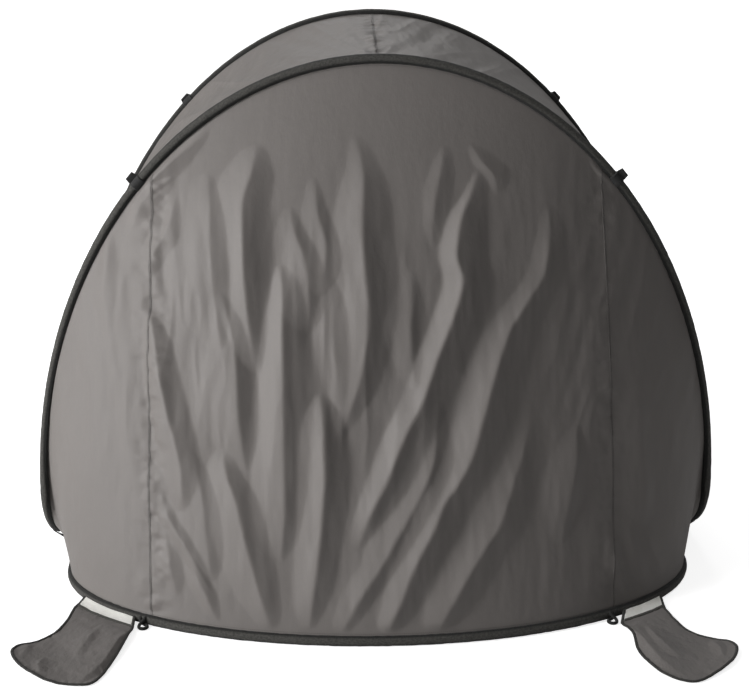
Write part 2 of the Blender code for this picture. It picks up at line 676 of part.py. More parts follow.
def make_tabs():
    """Webbing tabs sewn to the outside of the arches, where the wall's seams end."""
    arches = (
        ("rear", REAR_ARCH_Y, REAR_ARCH_HALF_WIDTH, REAR_ARCH_TOP, REAR_TAB_DEGREES,
         REAR_TAB_HEIGHT),
        ("front", FRONT_ARCH_Y, FRONT_ARCH_HALF_WIDTH, FRONT_ARCH_TOP, FRONT_TAB_DEGREES,
         FRONT_TAB_HEIGHT),
    )
    for arch, y, half_width, top, degrees, height in arches:
        rise = top - SPRING_HEIGHT
        angle = math.radians(degrees)
        for side_name, side in SIDES.items():
            point = np.array([side * half_width * math.sin(angle), y,
                              SPRING_HEIGHT + rise * math.cos(angle)])
            along = np.array([side * half_width * math.cos(angle), 0.0, -rise * math.sin(angle)])
            out = unit(np.array([side * math.sin(angle) / half_width, 0.0,
                                 math.cos(angle) / rise]))
            centre = point + out * (SLEEVE_RADIUS + 2 * GAP + height / 2)
            oriented_block(f"{arch}_arch_tab_{side_name}", centre, along, out,
                           (TAB_LENGTH, height, TAB_THICKNESS), "webbing")


def make_ties(runs):
    """The stitched pads that hold the two hoops together where they cross."""
    for side_name, station in (("left", 0), ("right", -1)):
        outer = runs["rear_arch"][station]
        inner = runs["rear_floor"][station]
        between = np.linalg.norm(outer - inner) - 2 * (SLEEVE_RADIUS + TIE_GAP)
        oriented_block(f"crossing_tie_{side_name}", (outer + inner) / 2, (0.0, 1.0, 0.0),
                       np.cross(outer - inner, (0.0, 1.0, 0.0)),
                       (TIE_LENGTH, TIE_THICKNESS, between), "webbing")


def main():
    clear_scene()
    runs = hoop_runs()
    make_sleeves(runs)
    make_wall(runs)
    make_roof(runs)
    make_groundsheet(runs)
    for side_name in SIDES:
        make_pocket(side_name)
    make_peg_loops()
    make_tabs()
    make_ties(runs)


main()
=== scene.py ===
"""The looks of the pop-up sun shelter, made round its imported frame.

+Z is up and z = 0 is the ground. The open front faces -Y and the rear wall +Y. Left is +X.
Sizes are in metres. Each new piece is a grid of points worked out as whole arrays: a surface
of two parameters, or a profile carried along a path.
"""
import math

import bmesh
import bpy
import numpy as np
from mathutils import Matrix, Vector


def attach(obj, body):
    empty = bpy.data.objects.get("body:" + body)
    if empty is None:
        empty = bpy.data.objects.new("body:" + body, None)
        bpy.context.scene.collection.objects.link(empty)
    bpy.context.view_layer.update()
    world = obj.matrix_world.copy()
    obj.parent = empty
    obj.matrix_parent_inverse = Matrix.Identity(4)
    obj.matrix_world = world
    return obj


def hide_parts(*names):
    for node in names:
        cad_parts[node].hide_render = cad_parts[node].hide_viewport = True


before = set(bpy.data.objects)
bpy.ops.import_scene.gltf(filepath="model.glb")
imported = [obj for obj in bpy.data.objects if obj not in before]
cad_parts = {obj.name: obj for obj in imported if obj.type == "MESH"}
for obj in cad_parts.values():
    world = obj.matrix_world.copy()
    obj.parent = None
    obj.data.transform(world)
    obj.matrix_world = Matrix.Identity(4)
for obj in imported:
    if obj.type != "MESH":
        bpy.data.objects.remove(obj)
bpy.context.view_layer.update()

# The hoops, as in the part's source. An arch is (y, half width, height of its top), and a floor
# edge is (y, half width, reach along y).
SLEEVE_RADIUS = 0.0105
SPRING_HEIGHT = 0.17
REAR_ARCH = (0.10, 0.739, 1.127)
FRONT_ARCH = (-0.30, 0.703, 1.175)
REAR_FLOOR = (0.141, 0.682, 0.371)
FRONT_FLOOR = (-0.16, 0.72, -0.38)
CROSSING_Y = 0.0
WALL_BULGE = 0.018
ROOF_SAG = 0.008
FADE_POWER = 0.7
SEAM_TOP_X = 0.475
SEAM_FOOT_X = 0.485

# Stations count along every run of hoop: from one crossing to the left seam, over the middle
# to the right seam, and down to the other crossing.
GORE_STATIONS = 12
CENTRE_STATIONS = 24
LEFT_SEAM = GORE_STATIONS
RIGHT_SEAM = GORE_STATIONS + CENTRE_STATIONS
LAST_STATION = 2 * GORE_STATIONS + CENTRE_STATIONS
MIDDLE = LAST_STATION / 2
FINE = 16
SIDES = {"left": 1.0, "right": -1.0}


def unit(vectors):
    """Vectors cut to length 1."""
    return vectors / np.linalg.norm(vectors, axis=-1, keepdims=True)


def dot(one, other):
    """Scalar product, kept as a last axis of length 1."""
    return (one * other).sum(axis=-1, keepdims=True)


def tangents(line):
    """Direction of a line of points at each of them."""
    return unit(np.gradient(line, axis=0))


def across(vectors, along):
    """Vectors without their share along a direction, at length 1."""
    return unit(vectors - dot(vectors, along) * along)


def smooth(share):
    """Smooth step: 3t^2 - 2t^3 of the share t, held between 0 and 1."""
    t = np.clip(share, 0.0, 1.0)
    return t * t * (3.0 - 2.0 * t)


def spaced(points, steps):
    """The same line of points, cut anew into equal steps along its length."""
    travelled = np.concatenate([[0.0], np.cumsum(np.linalg.norm(np.diff(points, axis=0), axis=1))])
    wanted = np.linspace(0.0, travelled[-1], steps + 1)
    return np.stack([np.interp(wanted, travelled, column) for column in points.T], axis=1)


def through(points, steps):
    """Catmull-Rom curves through the points, a number of steps between each two."""
    points = np.asarray(points, float)
    ends = np.vstack([2 * points[0] - points[1], points, 2 * points[-1] - points[-2]])
    t = np.linspace(0.0, 1.0, steps, endpoint=False)[None, :, None]
    before, here, nxt, after = (ends[k:len(ends) - 3 + k][:, None] for k in range(4))
    line = here + 0.5 * t * (nxt - before + t * (2 * before - 5 * here + 4 * nxt - after
                             + t * (3 * here - before - 3 * nxt + after)))
    return np.vstack([line.reshape(-1, points.shape[1]), points[-1:]])


LATTICE = 64


def ripple(a, b, seed, octaves=1):
    """Smooth noise of two coordinates, about -1 to 1.

    Random values on the corners of a square lattice are blended by smooth steps. Each octave
    after the first has half the size and half the height.
    """
    total = np.zeros(np.broadcast(a, b).shape)
    for octave in range(octaves):
        corners = np.random.default_rng(seed + octave).uniform(-1.0, 1.0, (LATTICE, LATTICE))
        i, j = np.floor(a * 2 ** octave).astype(int), np.floor(b * 2 ** octave).astype(int)
        u, v = smooth(a * 2 ** octave - i), smooth(b * 2 ** octave - j)
        i, j, i2, j2 = i % LATTICE, j % LATTICE, (i + 1) % LATTICE, (j + 1) % LATTICE
        low = corners[i, j] * (1 - u) + corners[i2, j] * u
        high = corners[i, j2] * (1 - u) + corners[i2, j2] * u
        total += (low * (1 - v) + high * v) / 2 ** octave
    return total


HOOP_POINTS = 1200


def arch_point(hoop, degrees, side):
    """Points on an arch, at angles from its top."""
    y, half_width, top = hoop
    angle = np.radians(np.asarray(degrees, float))
    return np.stack([side * half_width * np.sin(angle), np.full_like(angle, y),
                     SPRING_HEIGHT + (top - SPRING_HEIGHT) * np.cos(angle)], axis=-1)


def arch_half(hoop, start, end):
    """Upright quarter ellipse on the left, between two angles in degrees from its top."""
    return arch_point(hoop, np.linspace(start, end, HOOP_POINTS), SIDES["left"])


def floor_half(edge, start, end):
    """Quarter ellipse on the ground at the left, between two angles from the side."""
    y, half_width, reach = edge
    angle = np.radians(np.linspace(start, end, HOOP_POINTS))
    return np.stack([half_width * np.cos(angle), y + reach * np.sin(angle),
                     np.full_like(angle, SLEEVE_RADIUS)], axis=1)


def knee_parts(arch, edge):
    """Quarter ellipse from an arch's foot to a floor edge, cut in two at the crossing."""
    angle = np.radians(np.linspace(0.0, 90.0, HOOP_POINTS))
    onward = 1.0 - np.cos(angle)
    knee = np.stack([arch[1] + (edge[1] - arch[1]) * onward,
                     arch[0] + (edge[0] - arch[0]) * onward,
                     SLEEVE_RADIUS + (SPRING_HEIGHT - SLEEVE_RADIUS) * (1.0 - np.sin(angle))],
                    axis=1)
    order = np.argsort(knee[:, 1])
    crossing = np.array([np.interp(CROSSING_Y, knee[order, 1], column[order])
                         for column in knee.T])
    above = np.sign(knee[:, 1] - CROSSING_Y) == np.sign(knee[0, 1] - CROSSING_Y)
    return np.vstack([knee[above], crossing]), np.vstack([crossing, knee[~above]])


def run(side_part, centre_part):
    """A run of hoop from left to right, in equal steps from crossing to seam to middle."""
    side = spaced(side_part, GORE_STATIONS * FINE)
    centre = spaced(centre_part, CENTRE_STATIONS * FINE // 2)
    half = np.vstack([side, centre[1:]])
    return np.vstack([half, half[-2::-1] * (-1, 1, 1)])


def hoop_runs():
    """The four runs of hoop between the crossings."""
    rear_upper, rear_lower = knee_parts(REAR_ARCH, FRONT_FLOOR)
    front_upper, front_lower = knee_parts(FRONT_ARCH, REAR_FLOOR)
    top = math.degrees(math.asin(SEAM_TOP_X / REAR_ARCH[1]))
    foot = math.degrees(math.acos(SEAM_FOOT_X / REAR_FLOOR[1]))
    return {
        "rear_arch": run(np.vstack([rear_upper[::-1], arch_half(REAR_ARCH, 90, top)]),
                         arch_half(REAR_ARCH, top, 0)),
        "front_arch": run(np.vstack([front_upper[::-1], arch_half(FRONT_ARCH, 90, top)]),
                          arch_half(FRONT_ARCH, top, 0)),
        "rear_floor": run(np.vstack([front_lower, floor_half(REAR_FLOOR, 0, foot)]),
                          floor_half(REAR_FLOOR, foot, 90)),
        "front_floor": run(np.vstack([rear_lower, floor_half(FRONT_FLOOR, 0, foot)]),
                           floor_half(FRONT_FLOOR, foot, 90)),
    }


RUNS = hoop_runs()


def at(line, stations):
    """Points of a run at stations that need not be whole."""
    count = np.arange(len(line)) / FINE
    return np.stack([np.interp(stations, count, column) for column in line.T], axis=-1)


# How far from a sleeve's middle the cloth's edge is sewn into it.
SEWN_IN = 0.0088


def stretched(upper, lower, stations, down, bulge):
    """Cloth between two runs: straight columns, pushed out by a half sine of their length.

    Gives the points and the outward directions, for every station and share of the way down.
    The push fades towards the crossings as a power of a half sine.
    """
    top_line, foot_line = RUNS[upper], RUNS[lower]
    top_edge = top_line + SEWN_IN * across(foot_line - top_line, tangents(top_line))
    foot_edge = foot_line + SEWN_IN * across(top_line - foot_line, tangents(foot_line))
    top, foot = at(top_edge, stations)[:, None], at(foot_edge, stations)[:, None]
    middle = (top_edge + foot_edge) / 2
    along = unit(at(tangents(middle), stations))[:, None]
    outward = unit(np.cross(unit(foot - top), along))
    down = np.asarray(down)[None, :, None]
    fade = np.sin(math.pi * stations / LAST_STATION).clip(0.0) ** FADE_POWER
    push = bulge * fade[:, None, None] * np.sin(math.pi * down)
    points = top * (1 - down) + foot * down + push * outward
    return points, np.broadcast_to(outward, points.shape)


def grid_faces(rows, columns, closed=False):
    """Quads between the points of a grid. A closed grid joins its last column to its first."""
    row = np.arange(rows - 1)[:, None]
    column = np.arange(columns if closed else columns - 1)[None, :]
    nxt = (column + 1) % columns
    quads = np.stack([row * columns + column, row * columns + nxt,
                      (row + 1) * columns + nxt, (row + 1) * columns + column], axis=-1)
    return quads.reshape(-1, 4)


def make_mesh(name, points, quads, finish, uv=None):
    """Puts points and quads into a new object, with a UV value for each point."""
    mesh = bpy.data.meshes.new(name)
    points = np.asarray(points, np.float32).reshape(-1, 3)
    quads = np.asarray(quads, np.int32)
    mesh.vertices.add(len(points))
    mesh.vertices.foreach_set("co", points.ravel())
    mesh.loops.add(quads.size)
    mesh.loops.foreach_set("vertex_index", quads.ravel())
    mesh.polygons.add(len(quads))
    mesh.polygons.foreach_set("loop_start", np.arange(0, quads.size, 4, dtype=np.int32))
    mesh.update(calc_edges=True)
    mesh.validate()
    if uv is not None:
        layer = mesh.uv_layers.new(name="cut")
        index = np.empty(len(mesh.loops), np.int32)
        mesh.loops.foreach_get("vertex_index", index)
        layer.data.foreach_set("uv", np.asarray(uv, np.float32).reshape(-1, 2)[index].ravel())
    mesh.shade_smooth()
    mesh.materials.append(finish)
    obj = bpy.data.objects.new(name, mesh)
    bpy.context.scene.collection.objects.link(obj)
    return obj


def dress(obj, slot, *nodes):
    """The piece rides with the frame and stands for its CAD nodes, which are hidden. Its slot is
    not used.
    """
    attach(obj, "root")
    if nodes:
        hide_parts(*nodes)


def lengths(points, axis):
    """How far each point of a grid lies from its first row or column, along the surface."""
    steps = np.linalg.norm(np.diff(points, axis=axis), axis=-1)
    first = np.zeros_like(np.take(steps, [0], axis=axis))
    return np.concatenate([first, np.cumsum(steps, axis=axis)], axis=axis)


def cut_map(points):
    """UV of a cloth grid, in metres, measured along it from its middle column and its top."""
    over = lengths(points, 0)
    over = over - over[over.shape[0] // 2]
    return np.stack([over, -lengths(points, 1)], axis=-1)


def sweep(path, first, second, profile):
    """A profile carried along a path: each of its points is so far along two side directions.

    The profile is one outline for the whole path, or one for each of its points.
    """
    profile = np.broadcast_to(profile, (len(path),) + np.shape(profile)[-2:])
    return (path[:, None] + profile[..., :1] * first[:, None] + profile[..., 1:] * second[:, None])


MERGE_DISTANCE = 1e-7


def close_seams(obj):
    """Merges the doubled points along a surface's own seam and at its poles."""
    shape = bmesh.new()
    shape.from_mesh(obj.data)
    bmesh.ops.remove_doubles(shape, verts=shape.verts, dist=MERGE_DISTANCE)
    bmesh.ops.recalc_face_normals(shape, faces=shape.faces)
    shape.to_mesh(obj.data)
    shape.free()


def full_turn(count):
    """Angles of a full turn in equal steps, without the one that comes back to the first."""
    return 2 * math.pi * np.arange(count) / count


HALF_TURN = np.linspace(-math.pi / 2, math.pi / 2, 40)


def stadium(half_width, half_thick, count):
    """Outline of a flat strip's section: two straight sides joined by half circles."""
    flat = half_width - half_thick
    right = np.stack([flat + half_thick * np.cos(HALF_TURN), half_thick * np.sin(HALF_TURN)],
                     axis=1)
    outline = np.vstack([right, -right, right[:1]])
    return spaced(outline, count)[:-1]


def loop_grid(name, rings, finish, capped=True, girth=None):
    """A body from rings of points, one after another, with UV round and along it in metres.

    Where a girth is given, every ring counts as that long round.
    """
    around = np.concatenate([rings, rings[:, :1]], axis=1)
    middle = rings.mean(axis=1)
    onward = np.broadcast_to(lengths(middle, 0)[:, None], around.shape[:2])
    turned = lengths(around, 1)
    if girth is not None:
        turned = np.broadcast_to(np.linspace(0.0, girth, around.shape[1]), around.shape[:2])
    uv = np.stack([turned, onward], axis=-1)
    if capped:
        wide = (1, around.shape[1], 3)
        around = np.concatenate([np.broadcast_to(middle[0], wide), around,
                                 np.broadcast_to(middle[-1], wide)])
        uv = np.concatenate([uv[:1], uv, uv[-1:]])
    obj = make_mesh(name, around, grid_faces(*around.shape[:2]), finish, uv)
    close_seams(obj)
    return obj


# Finishes
class Socket:
    """A socket of a node tree. Arithmetic on it, or with plain numbers, adds Math nodes."""

    def __init__(self, finish, socket):
        self.finish, self.socket = finish, socket

    def maths(self, operation, *others):
        inputs = dict(enumerate((self,) + others))
        return self.finish.node("ShaderNodeMath", {"operation": operation}, inputs)

    def __add__(self, other):
        return self.maths("ADD", other)

    def __sub__(self, other):
        return self.maths("SUBTRACT", other)

    def __mul__(self, other):
        return self.maths("MULTIPLY", other)

    def __rsub__(self, other):
        return (self * -1.0).maths("ADD", other)

    __radd__, __rmul__ = __add__, __mul__

    def sine(self):
        return self.maths("SINE")

    def size(self):
        return self.maths("ABSOLUTE")

    def span(self, low, high, start=0.0, end=1.0):
        """Smoothly from start to end as the value goes from low to high."""
        return self.finish.node("ShaderNodeMapRange", {"interpolation_type": "SMOOTHSTEP"},
                                {"Value": self, "From Min": low, "From Max": high,
                                 "To Min": start, "To Max": end})


class Finish:
    """One material: its Principled shader, and a method that adds any other node."""

    def __init__(self, name, **steady):
        self.material = bpy.data.materials.new(name)
        self.material.use_nodes = True
        self.tree = self.material.node_tree
        self.shader = self.tree.nodes["Principled BSDF"]
        for label, value in steady.items():
            self.input(label).default_value = value

    def input(self, label):
        """The Principled shader's socket of a name such as base_color."""
        return self.shader.inputs[label.replace("_", " ").title().replace("Ior", "IOR")]

    def node(self, kind, settings=None, inputs=None, output=0):
        """Adds a node: its settings are set first, then the values or links of its inputs."""
        made = self.tree.nodes.new(kind)
        for key, value in (settings or {}).items():
            setattr(made, key, value)
        for key, value in (inputs or {}).items():
            if isinstance(value, Socket):
                self.tree.links.new(value.socket, made.inputs[key])
            else:
                made.inputs[key].default_value = value
        return Socket(self, made.outputs[output])

    def set(self, **inputs):
        """Links values to the Principled shader's own sockets."""
        for label, value in inputs.items():
            self.tree.links.new(value.socket, self.input(label))

    def place(self):
        """Object coordinates, in metres."""
        return self.node("ShaderNodeTexCoord", output="Object")

    def cut(self):
        """The piece's own UV, as two values in metres and as a vector."""
        uv = self.node("ShaderNodeUVMap", {"uv_map": "cut"})
        split = self.tree.nodes.new("ShaderNodeSeparateXYZ")
        self.tree.links.new(uv.socket, split.inputs[0])
        return Socket(self, split.outputs[0]), Socket(self, split.outputs[1]), uv

    def noise(self, vector, scale, detail, roughness, stretch=(1.0, 1.0, 1.0)):
        """Noise about 0.5, its cells scale to the metre, stretched along an axis."""
        scaled = self.node("ShaderNodeVectorMath", {"operation": "MULTIPLY"},
                           {0: vector, 1: stretch})
        return self.node("ShaderNodeTexNoise", inputs={"Vector": scaled, "Scale": scale,
                                                       "Detail": detail, "Roughness": roughness})

    def blend(self, share, one, other):
        """A colour between two colours."""
        return self.node("ShaderNodeMix", {"data_type": "RGBA"},
                         {"Factor": share, 6: one, 7: other}, output=2)

    def tint(self, colour, light):
        """A colour made lighter or darker by a value."""
        return self.node("ShaderNodeVectorMath", {"operation": "SCALE"},
                         {0: colour, "Scale": light})

    def bump(self, height, distance, strength, under=None):
        """A normal bent by a height, on top of another bump where one is given."""
        inputs = {"Height": height, "Distance": distance, "Strength": strength}
        if under is not None:
            inputs["Normal"] = under
        return self.node("ShaderNodeBump", inputs=inputs)


def plain_weave(finish, u, v, pitch):
    """Height of a plain weave: two crossed rows of round threads that pass over and under."""
    turn = 2 * math.pi / pitch
    warp, weft = (u * turn).sine(), (v * turn).sine()
    over = (u * (turn / 2)).sine() * (v * (turn / 2)).sine()
    return (warp + weft) * 0.25 + over * 0.25 + 0.5


def taffeta(name, colour, roughness=0.55, pitch=0.0011, crinkle=0.22):
    """Coated polyester: fine plain weave, soft mottling, small crinkles."""
    finish = Finish(name, specular_ior_level=0.42, sheen_weight=0.06, sheen_roughness=0.45)
    u, v, uv = finish.cut()
    place = finish.place()
    mottle = finish.noise(place, 3.2, 4.0, 0.55)
    slub = finish.noise(uv, 1.0, 2.0, 0.6, (900.0, 60.0, 1.0))
    dust = finish.noise(place, 240.0, 2.0, 0.6)
    light = 0.86 + mottle * 0.16 + slub * 0.05 + dust * 0.07
    finish.set(base_color=finish.tint(colour, light),
               roughness=roughness - 0.06 + mottle * 0.10 + dust * 0.04)
    crumple = finish.noise(place, 34.0, 5.0, 0.62, (1.25, 1.25, 0.55))
    threads = plain_weave(finish, u, v, pitch)
    soft = finish.bump(crumple, 0.006 * crinkle, 0.6)
    finish.set(normal=finish.bump(threads, 0.00012, 0.5, soft))
    return finish.material


def webbing(name, colour, pitch, roughness=0.7):
    """Ribbed woven band: diagonal twill ribs along the piece's own UV."""
    finish = Finish(name, specular_ior_level=0.35, sheen_weight=0.12, sheen_roughness=0.5)
    u, v, _ = finish.cut()
    fuzz = finish.noise(finish.place(), 420.0, 2.0, 0.6)
    ribs = plain_weave(finish, u + v * 0.5, v - u * 0.5, pitch)
    worn = finish.noise(finish.place(), 9.0, 3.0, 0.6)
    light = 0.70 + ribs * 0.42 + fuzz * 0.20 + worn * 0.18
    finish.set(base_color=finish.tint(colour, light), roughness=roughness - 0.05 + fuzz * 0.12)
    finish.set(normal=finish.bump(ribs * 0.8 + fuzz * 0.2, 0.0006, 0.8))
    return finish.material


SLEEVE_GIRTH = 0.062


def sleeve_weave_with_painted_shade(name, shaded_edge_colour, lit_middle_colour):
    """Coarse woven sleeve, paler and slubby in the middle. Its two sewn edges are darkened as
    painted shade, where the tube turns away and meets the cloth.

    Round the sleeve the tone follows the size of a sine, which is 0 at both edges.
    """
    finish = Finish(name, specular_ior_level=0.35, sheen_weight=0.10, sheen_roughness=0.5)
    u, v, uv = finish.cut()
    place = finish.place()
    # Painted shade: the share of the paler middle, falling to 0 at the darkened sewn edges.
    lit_middle_share = (u * (2 * math.pi / SLEEVE_GIRTH)).sine().size().span(0.60, 0.96)
    fuzz = finish.noise(place, 420.0, 2.0, 0.6)
    slub = finish.noise(uv, 1.0, 2.0, 0.6, (300.0, 190.0, 1.0)).span(0.30, 0.70)
    worn = finish.noise(place, 14.0, 3.0, 0.6)
    ribs = plain_weave(finish, u + v * 0.5, v - u * 0.5, 0.0018)
    light = 0.30 + ribs * 0.35 + fuzz * 0.20 + slub * 0.75 + worn * 0.20
    colour = finish.blend(lit_middle_share, shaded_edge_colour + (1.0,), lit_middle_colour + (1.0,))
    finish.set(base_color=finish.tint(colour, light), roughness=0.65 + fuzz * 0.12)
    finish.set(normal=finish.bump(ribs * 0.7 + slub * 0.5, 0.0007, 0.8))
    return finish.material


def loop_pile(name, colour):
    """Napped loop tape: short curled fibres, a little matted."""
    finish = Finish(name, specular_ior_level=0.2, sheen_weight=0.35, sheen_roughness=0.6)
    place = finish.place()
    curls = finish.noise(place, 900.0, 3.0, 0.7)
    mats = finish.noise(place, 160.0, 3.0, 0.6)
    finish.set(base_color=finish.tint(colour, 0.78 + curls * 0.22 + mats * 0.20),
               roughness=0.9 + mats * 0.08)
    finish.set(normal=finish.bump(curls * 0.6 + mats * 0.4, 0.0012, 0.9))
    return finish.material


WALL_CLOTH = taffeta("wall_taffeta", (0.180, 0.165, 0.156))
POCKET_CLOTH = taffeta("pocket_taffeta", (0.165, 0.153, 0.146), crinkle=0.8)
FLOOR_CLOTH = taffeta("floor_cloth", (0.060, 0.058, 0.057), roughness=0.45, pitch=0.0018)
# The lapped seams' cloth is darker than the wall's: painted shade along the step of each lap.
SEAM_CLOTH_PAINTED_SHADE = taffeta("lapped_seam_painted_shade", (0.135, 0.124, 0.117), crinkle=1.2)
# The sleeve's darker edge colour is painted shade at its sewn edges; the paler colour is its
# middle.
SLEEVE_CLOTH = sleeve_weave_with_painted_shade("sleeve_weave_with_painted_shade", (0.011, 0.011, 0.010), (0.054, 0.052, 0.047))
HEM_CLOTH = webbing("hem_weave", (0.062, 0.060, 0.053), pitch=0.0014)
BINDING = webbing("black_binding", (0.027, 0.026, 0.023), pitch=0.0012)
PEG_CORD = webbing("peg_cord_braid", (0.013, 0.013, 0.012), pitch=0.0014)
WEBBING = webbing("black_webbing", (0.020, 0.020, 0.020), pitch=0.0022)
LOOP_TAPE = loop_pile("loop_tape", (0.93, 0.92, 0.87))
THREAD = webbing("seam_thread", (0.090, 0.084, 0.080), pitch=0.0006, roughness=0.6)
DARK_THREAD = webbing("dark_thread", (0.030, 0.029, 0.028), pitch=0.0006, roughness=0.6)

